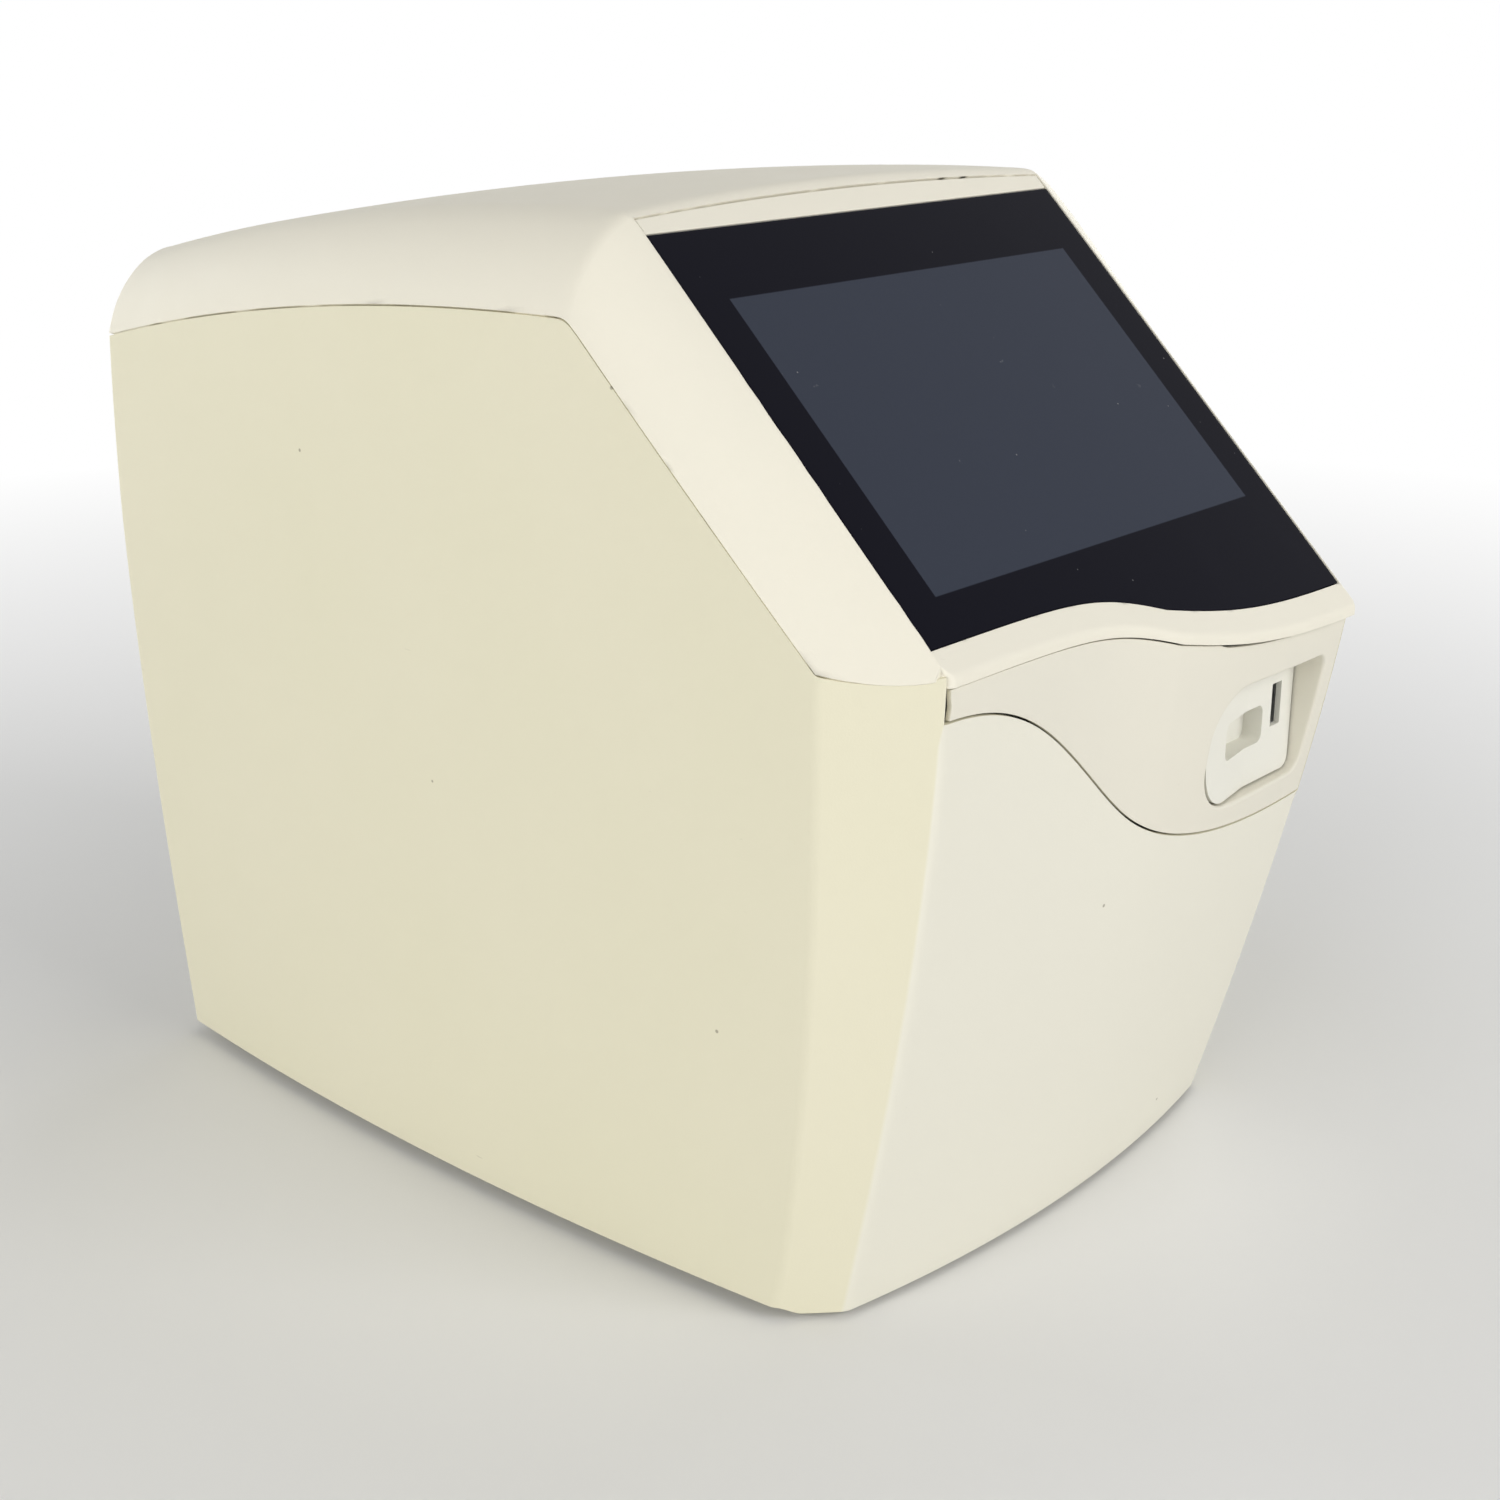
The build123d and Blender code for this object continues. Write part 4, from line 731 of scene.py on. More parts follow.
@dataclass(frozen=True)
class Housing:
    """The lower moulding: sides, cheeks, front and the frame of the rear opening."""

    window_x: float = 100.0
    window_low: float = 14.0
    window_high: float = 260.0
    rim_drop: float = 2.6
    rim_drop_y: float = -124.0
    rim_ramp: float = 2.5
    rear_blend: float = 45.0
    rear_margin: float = 0.5
    corner: float = 3.0
    crease: float = 2.2
    crisp: float = 0.15
    crisp_ramp: float = 5.0
    wall: float = 3.0
    edge: float = 0.45
    panel_gap: float = 0.6
    ogee_left_z: float = 201.8
    ogee_right_z: float = 128.0
    ogee: tuple[tuple[float, float], ...] = (
        (-80, 199.5), (-54, 188.2), (-30, 168), (-8, 148.3), (21, 135), (55, 129.5),
    )
    columns: tuple[int, ...] = (3, 7, 44, 7, 9, 4)
    knee_reach: float = 5.0
    knee_columns: tuple[int, int] = (26, 36)
    front_columns: int = 90
    front_crowd: float = 0.35
    front_slack: float = 1.25
    strip_columns: int = 12
    merge: float = 0.05
    strip_rows: int = 4
    low_rows: int = 30
    high_rows: int = 26
    first_guess_z: float = 100.0
    settling_rounds: int = 4

    def ogee_z(self, x: Array) -> Array:
        """Lower edge of the drawer panel: a cubic spline through a few points, level at both ends."""
        end = FORM.front_half_width - self.panel_gap
        knots = np.array([(-end, self.ogee_left_z), *self.ogee, (end, self.ogee_right_z)])
        return cubic_through(knots[:, 0], knots[:, 1], x)

    def bottom_z(self, y: Array) -> Array:
        """The rim: lower by a small step towards the front."""
        back = smooth_step(y, self.rim_drop_y - self.rim_ramp, self.rim_drop_y + self.rim_ramp)
        return FORM.foot_height - self.rim_drop * (1 - back)

    def levels(self, low: Array, step: float, high: Array, rear: Array) -> Array:
        """Rows of heights for columns: rim, window sill, step, window head and top, shared between patches.

        Args:
            low: height of the rim for each column.
            step: height at which the panel's end stands on the front corner.
            high: height of the top edge for each column.
            rear: 1 for columns on the rear face, falling to 0 along the side.

        Returns:
            Heights, one row for each level.
        """
        highest = np.max(high)
        head = step + (self.window_high - step) * (high - step) / (highest - step)
        head = head + (self.window_high - head) * rear
        strip, sill = self.strip_rows, self.window_low
        return graded([(low, sill, strip), (sill, step, self.low_rows), (step, head, self.high_rows),
                       (head, high, strip)], high)

    def side(self, sign: int, step: float) -> Patch:
        """One side from the rear opening round the rear corner, along the side and over the cheek.

        Args:
            sign: 1 on the right and -1 on the left.
            step: height at which the panel's end stands on the front corner.

        Returns:
            The grid; its last column is the middle of the front corner.
        """
        rows = 2 * self.strip_rows + self.low_rows + self.high_rows + 1
        z = np.full((rows, sum(self.columns)), self.first_guess_z)
        for _ in range(self.settling_rounds):
            y = self.side_points(sign, step, z)[..., 1]
            corner_start = FORM.rear_y - self.corner - self.rear_margin
            rear = smooth_step(y[0], FORM.rear_y - self.rear_blend, corner_start)
            z = self.levels(self.bottom_z(y[0]), step, self.top_z(sign, y[-1]), rear)
        return Patch(self.side_points(sign, step, z))

    def top_z(self, sign: int, y: Array) -> Array:
        """Top edge of side and cheek: the side seam, then the line along the cheek, less the gap."""
        corner_y = FORM.front_right_y if sign > 0 else FORM.front_left_y
        limit = FORM.shoulder_limit(y, corner_y)
        _, edge = FORM.shoulder(limit, y)
        lip_end = FORM.lip_bottom_z(np.array(sign * FORM.front_half_width))
        seam = np.maximum(FORM.side_seam_z(y), lip_end)
        cheek = np.minimum(seam, edge) if sign > 0 else edge
        return np.where(y < FORM.cheek_start_y, cheek, FORM.side_seam_z(y)) - FORM.seam_gap

    def side_shares(self, count: int) -> Array:
        """Shares along the side, crowded round the knee so that the top edge turns where the seam does."""
        start, end = FORM.rear_y - self.corner, FORM.cheek_start_y + self.crease
        reaches = (-self.knee_reach, self.knee_reach)
        near = [(start - FORM.knee_y + reach) / (start - end) for reach in reaches]
        return np.interp(np.arange(1, count + 1), (0, *self.knee_columns, count + 1), (0.0, *near, 1.0))

    def side_points(self, sign: int, step: float, z: Array) -> Array:
        """Points of one side for given heights; corners are quadratic Bezier curves.

        Args:
            sign: 1 on the right and -1 on the left.
            step: height above which the front corner is a crisp edge.
            z: heights, rows by columns.

        Returns:
            Points, rows by columns by 3.
        """
        rear, front_x = FORM.rear_y, FORM.front_half_width
        side_start = rear - self.corner
        edges = np.cumsum((0, *self.columns))
        columns: list[Array] = []
        for stretch, count, first in zip(Stretch, self.columns, edges):
            level = z[:, first:first + count]
            cheek_x, cheek_y = FORM.cheek_x(level), FORM.cheek_y(level)
            corner_y = FORM.front_y(np.full(level.shape, sign * front_x), level)
            length = np.hypot(front_x - cheek_x, corner_y - cheek_y)
            ahead_x, ahead_y = (front_x - cheek_x) / length, (corner_y - cheek_y) / length
            side_end = cheek_y + self.crease
            t = np.linspace(0, 1, count)
            if stretch is Stretch.REAR:
                t = np.linspace(0, 1, count, endpoint=False)
                x = self.window_x + (FORM.rear_half_width(level) - self.corner - self.window_x) * t
                y = np.full(level.shape, rear)
            elif stretch is Stretch.REAR_CORNER:
                wide = FORM.rear_half_width(level)
                after_x = FORM.side_x(np.full(level.shape, side_start), level)
                x, y = bend(wide - self.corner, wide, after_x, t), bend(rear, rear, side_start, t)
            elif stretch is Stretch.SIDE:
                y = side_start + (side_end - side_start) * self.side_shares(count)
                x = FORM.side_x(y, level)
            elif stretch is Stretch.CREASE:
                x = bend(FORM.side_x(side_end, level), cheek_x, cheek_x + ahead_x * self.crease, t)
                y = bend(side_end, cheek_y, cheek_y + ahead_y * self.crease, t)
            else:
                soft = self.crisp + self.crease * (1 - smooth_step(level, step - self.crisp_ramp, step))
                if stretch is Stretch.CHEEK:
                    along = self.crease + (length - soft - self.crease) * np.linspace(0, 1, count + 1)[1:]
                    x, y = cheek_x + ahead_x * along, cheek_y + ahead_y * along
                else:
                    t = np.linspace(0, 0.5, count + 1)[1:]
                    x = bend(front_x - ahead_x * soft, front_x, front_x - soft, t)
                    after_y = FORM.front_y(sign * (front_x - soft), level)
                    y = bend(corner_y - ahead_y * soft, corner_y, after_y, t)
            columns.append(stack(sign * x, y, level))
        return np.concatenate(columns, axis=1)

    def front(self) -> Patch:
        """The front below the drawer panel, from corner to corner."""
        reach = FORM.front_half_width
        x = spaced(-reach, reach, self.front_columns, self.front_crowd)
        steep = np.gradient(self.ogee_z(x), x)
        top = self.ogee_z(x) - self.panel_gap * np.sqrt(1 + steep**2) * self.front_slack
        top[0], top[-1] = self.ogee_left_z - self.panel_gap, self.ogee_right_z - self.panel_gap
        low = np.full(x.shape, FORM.foot_height - self.rim_drop)
        z = graded([(low, self.window_low, self.strip_rows), (self.window_low, top, self.low_rows)], top)
        points = stack(np.broadcast_to(x, z.shape), FORM.front_y(x, z), z)
        for end, sign, step in ((0, -1, self.ogee_left_z), (-1, 1, self.ogee_right_z)):
            points[:, end] = self.corner_middle(sign, step - self.panel_gap, z[:, end])
        return Patch(points)

    def corner_middle(self, sign: int, step: float, z: Array) -> Array:
        """Middle of the rounded front corner, where side and front patches meet."""
        return self.side_points(sign, step, np.repeat(z[:, None], sum(self.columns), axis=1))[:, -1]

    def rear_strips(self, step: float) -> list[Patch]:
        """The flat strips below and above the rear opening."""
        x = np.linspace(-self.window_x, self.window_x, self.strip_columns)
        top = self.top_z(1, np.array([FORM.rear_y]))
        z = self.levels(np.array([FORM.foot_height]), step, top, np.ones(1))[:, 0]
        below, above = z[:self.strip_rows + 1], z[-self.strip_rows - 1:]
        return [Patch(stack(x[None, :], FORM.rear_y, band[:, None])) for band in (below, above)]

    def build(self) -> None:
        """Makes the moulding and lets it stand for the CAD shell."""
        left = self.ogee_left_z - self.panel_gap
        right = self.ogee_right_z - self.panel_gap
        patches = [self.side(1, right), self.side(-1, left), self.front(), *self.rear_strips(right)]
        shell = join_patches("housing_shell", patches, self.merge)
        finish_shell(shell, self.wall, self.edge, Surface.HOUSING)
        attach(shell, "housing")
        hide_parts("lower_housing")


def cubic_through(knots_x: Array, knots_y: Array, x: Array) -> Array:
    """Cubic spline through knots with level ends, by the slopes that keep the second derivative whole.

    Args:
        knots_x: rising places of the knots.
        knots_y: heights of the knots.
        x: places to read.

    Returns:
        Heights at those places.
    """
    n = len(knots_x)
    step = np.diff(knots_x)
    rise = np.diff(knots_y) / step
    system = np.eye(n)
    right = np.zeros(n)
    for i in range(1, n - 1):
        system[i, i - 1:i + 2] = step[i], 2 * (step[i - 1] + step[i]), step[i - 1]
        right[i] = 3 * (step[i] * rise[i - 1] + step[i - 1] * rise[i])
    slopes = np.linalg.solve(system, right)
    i = np.clip(np.searchsorted(knots_x, x) - 1, 0, n - 2)
    t = (x - knots_x[i]) / step[i]
    return ((1 + 2 * t) * (1 - t) ** 2 * knots_y[i] + t * (1 - t) ** 2 * step[i] * slopes[i]
            + t**2 * (3 - 2 * t) * knots_y[i + 1] - t**2 * (1 - t) * step[i] * slopes[i + 1])


@dataclass(frozen=True)
class Screen:
    """The cover glass and the white band above it, let into the slope."""

    half_width: float = 101.5
    top: float = 79.5
    gap: float = 0.4
    band_height: float = 6.0
    band_crown: float = 3.4
    thickness: float = 2.8
    sink: float = 0.2
    glass_edge: float = 0.35
    band_edge: float = 0.4
    columns: int = 110
    glass_rows: int = 12
    band_rows: int = 5

    def on_slope(self, x: Array, up: Array, depth: float) -> Array:
        """Points on the plane of the screen, up the slope from its centre and sunk square to it."""
        angle = math.radians(FORM.slope_angle)
        y = FORM.screen_y + up * math.cos(angle) + depth * math.sin(angle)
        z = FORM.screen_z + up * math.sin(angle) - depth * math.cos(angle)
        return stack(x, y, z)

    def band_top(self, x: Array) -> Array:
        """Upper edge of the white band: an arc's bow over a level line."""
        return self.top + self.band_height + self.band_crown * (1 - (x / self.half_width) ** 2)

    def build(self) -> None:
        """Makes glass and band."""
        x = np.linspace(-self.half_width, self.half_width, self.columns)
        glass = self.sheet("cover_glass", x, -FORM.glass_bottom(x), self.top, self.glass_rows)
        finish_shell(glass, self.thickness, self.glass_edge, Surface.GLASS)
        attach(glass, "housing")
        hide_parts("touch_glass")
        band = self.sheet("glass_band", x, self.top + self.gap, self.band_top(x), self.band_rows)
        finish_shell(band, self.thickness, self.band_edge, Surface.COVER)
        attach(band, "housing")
        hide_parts("display_band")

    def sheet(self, name: str, x: Array, low: Array, high: Array, rows: int) -> bpy.types.Object:
        """Makes a flat skin on the slope between two edges, given as distances up from the centre."""
        up = low + (high - low) * np.linspace(0, 1, rows)[:, None]
        return join_patches(name, [Patch(self.on_slope(x, up, self.sink))])


@dataclass(frozen=True)
class Cover:
    """The upper moulding: roof, rolled shoulders, screen slope and the wavy lip."""

    screen: Screen
    wall: float = 2.6
    edge: float = 0.5
    rear_round: float = 3.0
    lip_round: float = 1.6
    crease_round: float = 5.0
    hole_margin: float = 0.6
    end_inset: float = 0.3
    end_round_left: float = 3.8
    end_round_right: float = 1.6
    sharp: float = 0.5
    soften_start: float = -2.0
    soften_end: float = 12.0
    knee_row: float = 9.0
    row_counts: tuple[int, int, int, int] = (30, 12, 30, 9)
    screen_part: int = 2
    columns: int = 71
    end_shares: tuple[float, ...] = (0.003, 0.007, 0.012, 0.018, 0.025)
    lip_bend_rows: int = 8
    lip_face_rows: int = 5
    rear_rows: int = 7
    merge: float = 0.2
    crease_steps: int = 7
    roll_steps: int = 18
    wrap_steps: int = 3

    def lip_y(self, x: Array) -> Array:
        """Face of the lip, with a quarter circle at each end that falls back from the front."""
        y = FORM.front_y(x, FORM.belt_z) - FORM.lip_proud
        for sign, radius in ((-1, self.end_round_left), (1, self.end_round_right)):
            into = np.clip((sign * x - FORM.front_half_width + radius) / radius, 0.0, 1.0)
            y = y + radius * (1 - np.sqrt(1 - into**2))
        return y

    def rows(self) -> tuple[Array, Array, Array]:
        """Depths on the central columns.

        Returns:
            Shares across from -1 to 1, the part that each row starts in, and each row's depth at each share.
        """
        ends = np.array(self.end_shares)
        share = np.sort(np.concatenate([np.linspace(-1, 1, self.columns), ends - 1, 1 - ends]))
        x = share * (FORM.crease_x - self.hole_margin)
        angle = math.radians(FORM.slope_angle)
        gap = self.screen.gap
        start, knee = FORM.rear_y - self.rear_round, FORM.knee_y + self.knee_row
        band = FORM.screen_y + (self.screen.band_top(x) + 2 * gap) * math.cos(angle)
        glass = FORM.screen_y - (FORM.glass_bottom(x) + gap) * math.cos(angle)
        front = self.lip_y(x) + self.lip_round * math.cos(angle)
        edges = (start, knee, band, glass, front)
        parts = np.repeat(np.arange(len(self.row_counts)), self.row_counts)
        return share, parts, graded(list(zip(edges, edges[1:], self.row_counts)), front)

    def half_columns(self, sign: int, y: Array) -> Array:
        """Crease rounding, shoulder and the part of the cheek that belongs to the cover.

        Args:
            sign: 1 on the right and -1 on the left.
            y: depth of each row at the crease.

        Returns:
            Points from the hole's edge outwards, rows by columns by 3.
        """
        corner_y = (FORM.front_right_y if sign > 0 else FORM.front_left_y) - FORM.lip_proud
        y = y[:, None]
        rounded = smooth_step(y, FORM.knee_y + self.soften_start, FORM.knee_y + self.soften_end)
        soft = self.sharp + (self.crease_round - self.sharp) * rounded
        before_x = FORM.crease_x - soft - (self.hole_margin - self.sharp)
        limit = FORM.shoulder_limit(y, corner_y)
        start = np.minimum(soft / FORM.shoulder_drop, limit)
        after_x, after_z = FORM.shoulder(start, y)
        top = FORM.top_z(np.array(FORM.crease_x), y)
        t = np.linspace(0, 1, self.crease_steps)[None, :]
        x_bend = bend(before_x, FORM.crease_x, after_x, t)
        z_bend = bend(FORM.top_z(before_x, y), top, after_z, t)
        q = start + (limit - start) * np.linspace(0, 1, self.roll_steps + 1)[None, 1:]
        x_roll, z_roll = FORM.shoulder(q, y)
        lip_end = FORM.lip_bottom_z(np.array(sign * FORM.front_half_width))
        seam = np.maximum(FORM.side_seam_z(y), lip_end)
        drop = np.where(y < FORM.cheek_start_y, np.maximum(z_roll[:, -1:] - seam, 0.0), 0.0) * (sign > 0)
        z_wrap = z_roll[:, -1:] - drop * np.linspace(0, 1, self.wrap_steps + 1)[None, 1:]
        x_wrap = np.broadcast_to(x_roll[:, -1:], z_wrap.shape)
        x = np.concatenate([x_bend, x_roll, x_wrap], axis=1)
        z = np.concatenate([z_bend, z_roll, z_wrap], axis=1)
        return stack(sign * x, np.broadcast_to(y, x.shape), z)

    def build(self) -> None:
        """Makes the moulding and lets it stand for the CAD shell."""
        share, parts, depth = self.rows()
        left, right = self.half_columns(-1, depth[:, 0]), self.half_columns(1, depth[:, -1])
        x = share[None, :] * right[:, :1, 0]
        middle = stack(x, depth, FORM.top_z(x, depth))
        top = np.concatenate([left[:, :0:-1], middle, right[:, 1:]], axis=1)
        first = left.shape[1] - 1
        inner = slice(first, first + len(share))
        gaps = np.zeros((top.shape[0] - 1, top.shape[1] - 1), bool)
        gaps[parts == self.screen_part, first:first + len(share) - 1] = True
        lip = self.lip(top[-1], inner)
        skin = Patch(np.concatenate([top, lip]), np.pad(gaps, ((0, len(lip)), (0, 0))))
        patches = [skin, Patch(self.rear(top[0]))]
        shell = join_patches("cover_shell", patches, self.merge)
        finish_shell(shell, self.wall, self.edge, Surface.COVER)
        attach(shell, "housing")
        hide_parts("upper_cover")

    def lip(self, last: Array, inner: slice) -> Array:
        """Rounded crease and face of the lip.

        Args:
            last: the top's last row.
            inner: its columns between the two creases.

        Returns:
            The lip's rows, from the crease down.
        """
        front, edge_z = last[:, 1].copy(), last[:, 2].copy()
        inset = FORM.front_half_width - self.end_inset
        reach = np.clip(last[:, 0], -inset, inset)
        front[inner] = self.lip_y(reach[inner])
        edge_z[inner] = FORM.slope_z(front[inner])
        x = reach.copy()
        x[inner] = last[inner, 0]
        low = FORM.lip_bottom_z(reach)
        corner = stack(x, front, edge_z)
        after = corner - np.array([0.0, 0.0, self.lip_round])
        after[:, 2] = np.maximum(after[:, 2], low)
        rounded = corner_curve(last, corner, after, self.lip_bend_rows)[1:]
        return np.concatenate([rounded, lowered(after, low, self.lip_face_rows)])

    def rear(self, edge: Array) -> Array:
        """Rounded rear edge and rear face: the first section, drawn in square to its own outline."""
        corner = edge.copy()
        corner[:, 1] = FORM.rear_y
        along = np.gradient(corner[:, [0, 2]], axis=0)
        length = np.hypot(along[:, 0], along[:, 1])
        sound = np.flatnonzero(length > 1e-6)
        nearest = sound[np.abs(np.arange(len(length))[:, None] - sound[None, :]).argmin(axis=1)]
        along = along[nearest] / length[nearest, None]
        inward = np.stack([along[:, 1], 0 * along[:, 0], -along[:, 0]], axis=-1)
        after = corner + inward * self.rear_round
        seam = FORM.side_seam_z(np.array(FORM.rear_y))
        after[:, 2] = np.maximum(after[:, 2], seam)
        rounded = corner_curve(edge, corner, after, self.rear_rows)
        return np.concatenate([rounded, lowered(after, seam, self.rear_rows)])


@dataclass(frozen=True)
class DrawerPanel:
    """The wavy front panel with its round-cornered recess."""

    housing: Housing
    wall: float = 1.6
    edge: float = 0.5
    left_gap: float = 2.3
    left_notch: float = 0.6
    notch_z: float = 205.5
    notch_spread: tuple[float, float] = (1.5, 2.6)
    wide_gap_x: float = 27.0
    wide_gap: float = 1.35
    gap_ramp: float = 0.8
    gap_fade: float = 0.6
    gap_fade_x: tuple[float, float] = (60.0, 95.0)
    split_x: float = 20.0
    recess_left: float = 29.0
    recess_right: float = 94.4
    recess_low: float = 138.0
    recess_high: float = 180.8
    radius_left: float = 18.0
    radius_right: float = 5.0
    rim_round: float = 1.3
    recess_back_y: float = -169.0
    counts: tuple[int, int, int, int] = (30, 46, 30, 46)
    left_columns: int = 80
    ring_rows: int = 12
    rim_rows: int = 6
    wall_rows: int = 4
    arc_steps: int = 24
    merge: float = 0.03

    def top_z(self, x: Array) -> Array:
        """Upper edge, just under the lip; the gap widens in a step to the right of wide_gap_x."""
        gap = self.housing.panel_gap
        wide = smooth_step(x, self.wide_gap_x - self.gap_ramp, self.wide_gap_x + self.gap_ramp)
        wide = wide * (1 - self.gap_fade * smooth_step(x, *self.gap_fade_x))
        return FORM.lip_bottom_z(x) - gap - (self.wide_gap - gap) * wide

    def low_z(self, x: Array) -> Array:
        """Lower edge."""
        return self.housing.ogee_z(x)

    def outline(self, grow: float) -> Array:
        """The recess seen from the front, from its lower left corner upwards and round.

        Args:
            grow: how far outside the true outline, in millimetres.

        Returns:
            Points (x, z); the last is the first again.
        """
        x0, x1 = self.recess_left - grow, self.recess_right + grow
        z0, z1 = self.recess_low - grow, self.recess_high + grow
        a, b = self.radius_left + grow, self.radius_right + grow
        arcs = [(x0 + a, z0 + a, a, 225, 180), (x0 + a, z1 - a, a, 180, 135), (x0 + a, z1 - a, a, 135, 90),
                (x1 - b, z1 - b, b, 90, 45), (x1 - b, z1 - b, b, 45, 0), (x1 - b, z0 + b, b, 0, -45),
                (x1 - b, z0 + b, b, -45, -90), (x0 + a, z0 + a, a, 270, 225)]
        stretches = []
        for side, count in enumerate(self.counts):
            dense = []
            for cx, cz, radius, start, end in arcs[2 * side:2 * side + 2]:
                angle = np.radians(np.linspace(start, end, self.arc_steps))
                dense.append(np.stack([cx + radius * np.cos(angle), cz + radius * np.sin(angle)], axis=-1))
            line = np.concatenate(dense)
            walked = np.concatenate([[0], np.cumsum(np.hypot(*np.diff(line, axis=0).T))])
            at = np.linspace(0, walked[-1], count, endpoint=False)
            stretches.append(np.stack([np.interp(at, walked, line[:, k]) for k in (0, 1)], axis=-1))
        loop = np.concatenate(stretches)
        return np.concatenate([loop, loop[:1]])

    def surround(self) -> Array:
        """The edge of the panel round the recess, matched point by point to the recess's outline."""
        rows, _, down, _ = self.counts
        end = FORM.front_half_width - self.housing.panel_gap
        t = [np.linspace(0, 1, n, endpoint=False) for n in self.counts]
        low0, high0 = self.low_z(np.array(self.split_x)), self.top_z(np.array(self.split_x))
        left = np.stack([np.full(rows, self.split_x), low0 + (high0 - low0) * t[0]], axis=-1)
        x = self.split_x + (end - self.split_x) * t[1]
        upper = np.stack([x, self.top_z(x)], axis=-1)
        high1, low1 = self.top_z(np.array(end)), self.low_z(np.array(end))
        right = np.stack([np.full(down, end), high1 + (low1 - high1) * t[2]], axis=-1)
        x = end + (self.split_x - end) * t[3]
        lower = np.stack([x, self.low_z(x)], axis=-1)
        loop = np.concatenate([left, upper, right, lower])
        return np.concatenate([loop, loop[:1]])

    def on_front(self, flat: Array) -> Array:
        """Lays (x, z) points onto the front face."""
        return stack(flat[..., 0], FORM.front_y(flat[..., 0], flat[..., 1]), flat[..., 1])

    def build(self) -> None:
        """Makes the panel and lets it stand for the CAD panel."""
        start = -(FORM.front_half_width - self.left_gap)
        x = np.linspace(start, self.split_x, self.left_columns)
        t = np.linspace(0, 1, self.counts[0] + 1)[:, None]
        z = self.low_z(x) + (self.top_z(x) - self.low_z(x)) * t
        along, up = (x - start) / self.notch_spread[0], (z - self.notch_z) / self.notch_spread[1]
        notch = self.left_notch * np.exp(-(up**2)) * np.exp(-(along**2))
        plain = Patch(stack(x + notch, FORM.front_y(x, z), z))
        inner, outer = self.outline(self.rim_round), self.surround()
        t = np.linspace(0, 1, self.ring_rows)[:, None, None]
        ring = Patch(self.on_front(outer + (inner - outer) * t))
        corner = self.on_front(self.outline(0.0))
        behind = corner + np.array([0.0, self.rim_round, 0.0])
        rounded = corner_curve(self.on_front(inner), corner, behind, self.rim_rows)
        deep = rounded[-1][None]
        t = np.linspace(0, 1, self.wall_rows + 1)[1:, None]
        wall_y = deep[..., 1] + (self.recess_back_y - deep[..., 1]) * t
        rim = Patch(np.concatenate([rounded, stack(deep[..., 0], wall_y, deep[..., 2])]))
        shell = join_patches("front_panel", [plain, ring, rim], self.merge)
        finish_shell(shell, self.wall, self.edge, Surface.PANEL)
        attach(shell, "drawer")
        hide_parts("drawer_panel")


@dataclass(frozen=True)
class GuardRings:
    """The inner wires of the fan's guard, welded across its two bars."""

    radii: tuple[float, float] = (14.0, 25.0)
    wire: float = 0.8
    steps_round: int = 72
    steps_wire: int = 12

    def build(self) -> None:
        """Carries a circle round each ring: radius plus wire times cosine, and depth wire times sine."""
        low, high = (np.array(corner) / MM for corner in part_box("fan_guard"))
        centre = (low + high) / 2
        turn = np.linspace(0, 2 * math.pi, self.steps_round + 1)[:, None]
        across = np.linspace(0, 2 * math.pi, self.steps_wire + 1)[None, :]
        for number, radius in enumerate(self.radii, 1):
            reach = radius + self.wire * np.cos(across)
            depth = centre[1] + self.wire * np.sin(across)
            points = stack(centre[0] + reach * np.cos(turn), depth, centre[2] + reach * np.sin(turn))
            ring = join_patches(f"guard_ring_{number}", [Patch(points)])
            ring.data.polygons.foreach_set("use_smooth", np.ones(len(ring.data.polygons), bool))
            ring.data.materials.append(MATERIALS[Surface.STEEL])
            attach(ring, "housing")


def dress_nodes() -> None:
    """Gives every CAD piece its finish."""
    for surface, names in NODE_SURFACES.items():
        for name in names:
            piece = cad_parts[name]
            piece.data.materials.clear()
            piece.data.materials.append(MATERIALS[surface])
            LOG.info("%s takes %s", name, surface.value.name)


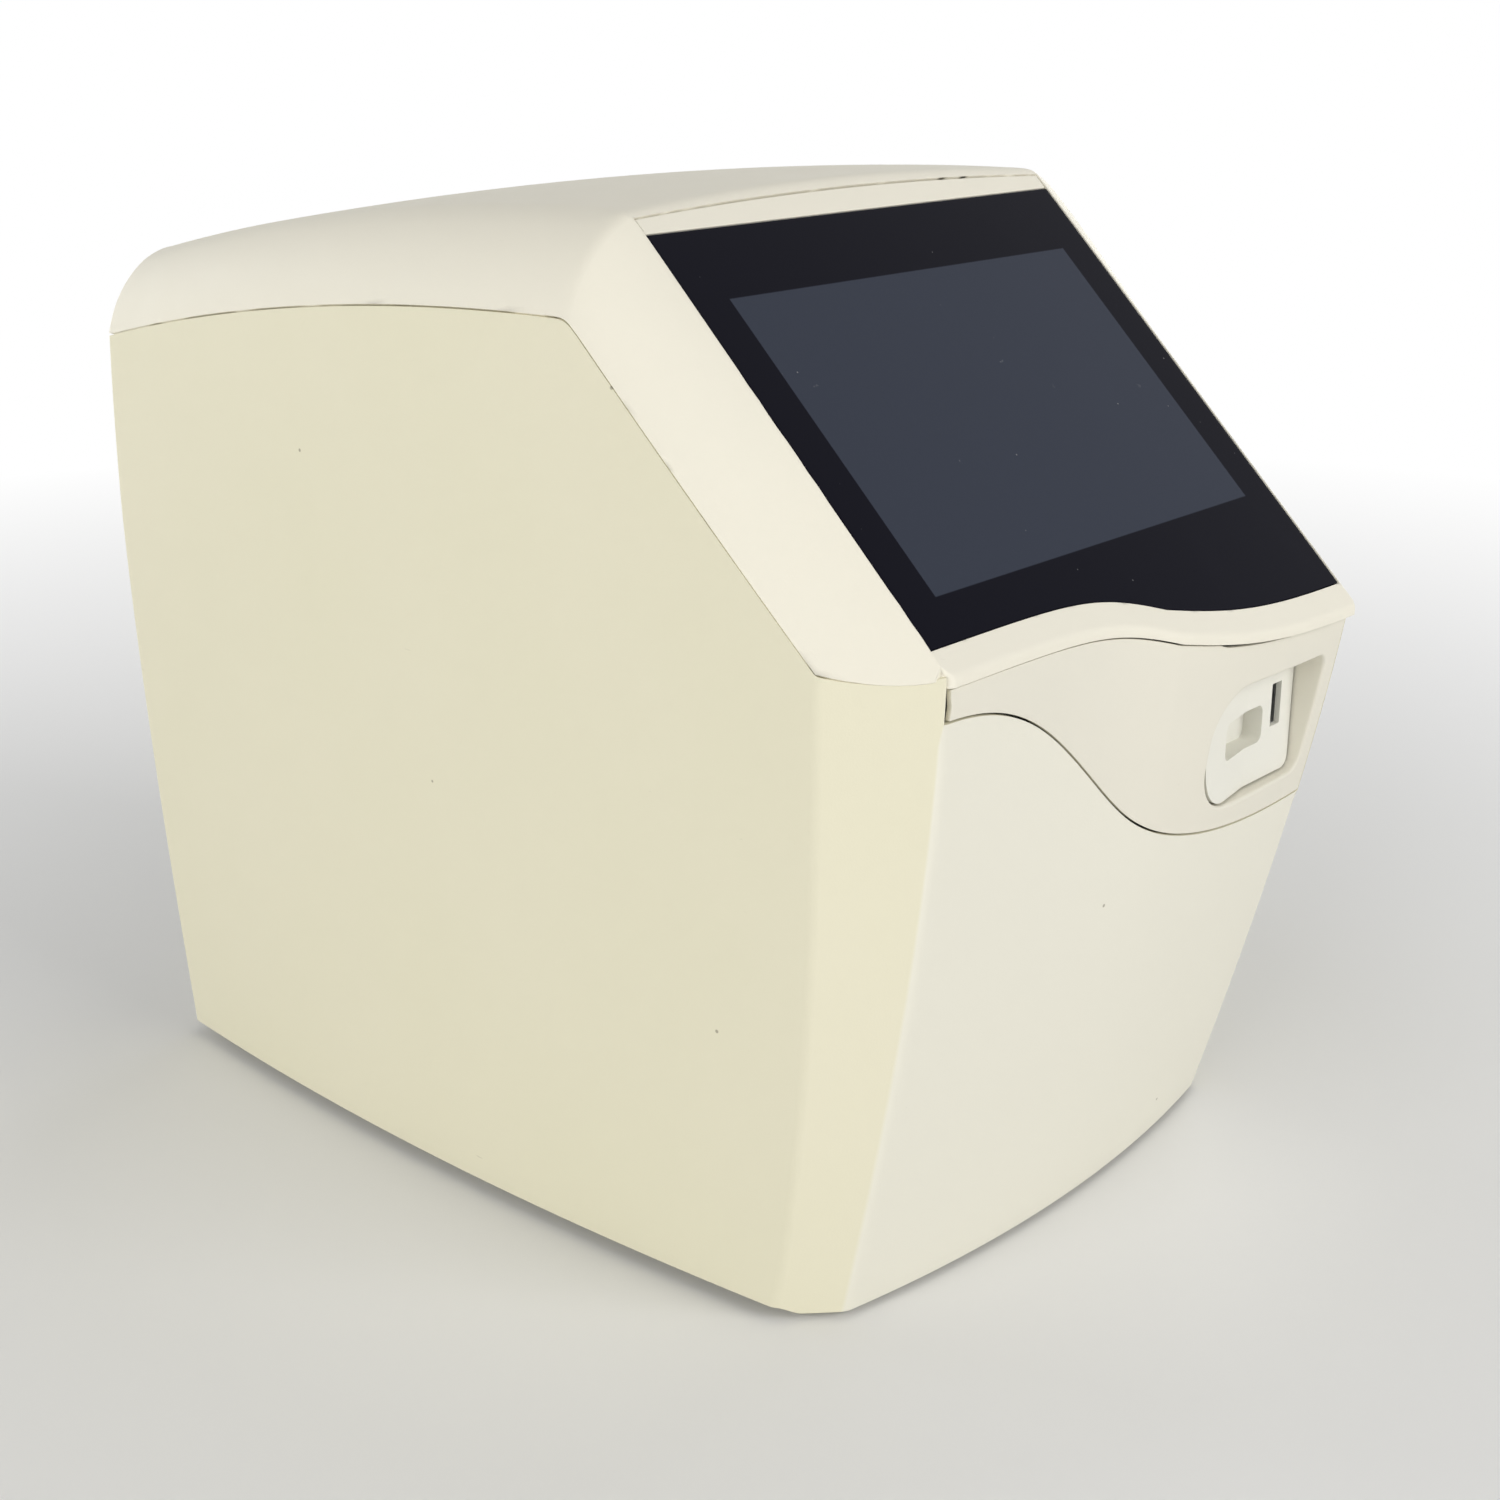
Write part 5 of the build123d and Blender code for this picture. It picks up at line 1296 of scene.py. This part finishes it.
@dataclass(frozen=True)
class Studio:
    """Pale floor, soft lamps and the camera of the photograph."""

    camera_place: tuple[float, float, float] = (-577.4, -512.6, 394.8)
    camera_azimuth: float = 48.79
    camera_pitch: float = -18.94
    lens: float = 54.0
    sensor_width: float = 36.0
    world_light: float = 0.30
    floor_colour: Colour = (0.80, 0.80, 0.79)
    floor_reach: float = 40.0
    white_from: float = 0.75
    white_ramp: float = 1.0
    lamp_size: float = 1.6
    lamps: tuple[tuple[str, tuple[float, float, float], float, Colour], ...] = (
        ("key", (0.4, -2.4, 1.2), 36.0, (1.0, 0.99, 0.98)),
        ("side", (-2.4, -0.3, 0.8), 30.0, (1.0, 0.99, 0.96)),
        ("rear", (-0.4, 2.4, 0.6), 19.0, (0.98, 0.99, 1.0)),
        ("right", (2.4, 0.3, 0.6), 20.0, (0.98, 0.99, 1.0)),
    )

    def camera(self) -> None:
        """Places the camera."""
        data = bpy.data.cameras.new("camera")
        data.lens = self.lens
        data.sensor_width = self.sensor_width
        data.clip_start = 0.02
        data.clip_end = 60.0
        made = bpy.data.objects.new("camera", data)
        made.location = [v * MM for v in self.camera_place]
        made.rotation_euler = (math.radians(90 + self.camera_pitch), 0.0, -math.radians(self.camera_azimuth))
        bpy.context.scene.collection.objects.link(made)
        bpy.context.scene.camera = made

    def lamp(self, name: str, place: tuple[float, float, float], power: float, tint: Colour) -> None:
        """Adds a square soft lamp that looks at the instrument; place in metres, power in watts."""
        data = bpy.data.lights.new(name, "AREA")
        data.shape = "SQUARE"
        data.size = self.lamp_size
        data.energy = power
        data.color = tint
        made = bpy.data.objects.new(name, data)
        made.location = place
        made.rotation_euler = (MIDDLE - Vector(place)).to_track_quat("-Z", "Y").to_euler()
        bpy.context.scene.collection.objects.link(made)

    def seen(self, nodes: Nodes) -> Value:
        """1 for rays from the camera, reflections and glass, and 0 for rays that light the instrument."""
        rays = nodes.node("ShaderNodeLightPath", {}, {}).outputs
        kinds = ("Is Camera Ray", "Is Glossy Ray", "Is Transmission Ray")
        camera, glossy, through = (Value(nodes, rays[kind]) for kind in kinds)
        return (camera + glossy + through).clamped()

    def backdrop(self) -> None:
        """A pale floor that keeps the shadow near the instrument and fades into plain white further out."""
        side = self.floor_reach
        mesh = bpy.data.meshes.new("floor")
        corners = [(-side, -side, 0), (side, -side, 0), (side, side, 0), (-side, side, 0)]
        mesh.from_pydata(corners, [], [(0, 1, 2, 3)])
        floor = bpy.data.objects.new("floor", mesh)
        bpy.context.scene.collection.objects.link(floor)
        nodes = Nodes("floor")
        nodes.set(Base_Color=rgba(self.floor_colour), Roughness=0.75, Specular_IOR_Level=0.2)
        x, y, _ = nodes.parts(nodes.place)
        far = (x * x + y * y).root().above(self.white_from, self.white_ramp)
        white = nodes.node("ShaderNodeEmission", {}, {"Color": (1, 1, 1, 1), "Strength": 1.0}).outputs[0]
        share = {0: far * self.seen(nodes), 1: nodes.shader.outputs[0], 2: white}
        blend = nodes.node("ShaderNodeMixShader", {}, share).outputs[0]
        nodes.tree.links.new(blend, nodes.output.inputs[0])
        floor.data.materials.append(nodes.material)

    def world(self) -> None:
        """A world that lights gently and shows as plain white."""
        world = bpy.data.worlds.new("studio")
        bpy.context.scene.world = world
        world.use_nodes = True
        nodes = Nodes("studio", world)
        strength = self.seen(nodes) * (1.0 - self.world_light) + self.world_light
        back = nodes.node("ShaderNodeBackground", {}, {"Color": (1, 1, 1, 1), "Strength": strength})
        output = nodes.node("ShaderNodeOutputWorld", {}, {0: back.outputs[0]})
        output.is_active_output = True

    def build(self) -> None:
        """Sets up camera, floor, world and lamps."""
        self.camera()
        self.backdrop()
        self.world()
        for lamp in self.lamps:
            self.lamp(*lamp)
        bpy.context.scene.view_settings.view_transform = "Standard"


MATERIALS: dict[Surface, bpy.types.Material] = {surface: surface.value.build() for surface in Surface}


def main() -> None:
    """Builds and dresses every piece in order."""
    logging.basicConfig(level=logging.INFO, format="%(message)s")
    dress_nodes()
    housing = Housing()
    screen = Screen()
    makers: list[Callable[[], None]] = [
        housing.build, screen.build, Cover(screen).build, DrawerPanel(housing).build, GuardRings().build,
    ]
    for make in makers:
        make()
        LOG.info("%s done", make.__qualname__)
    Studio().build()


if __name__ == "__main__":
    main()
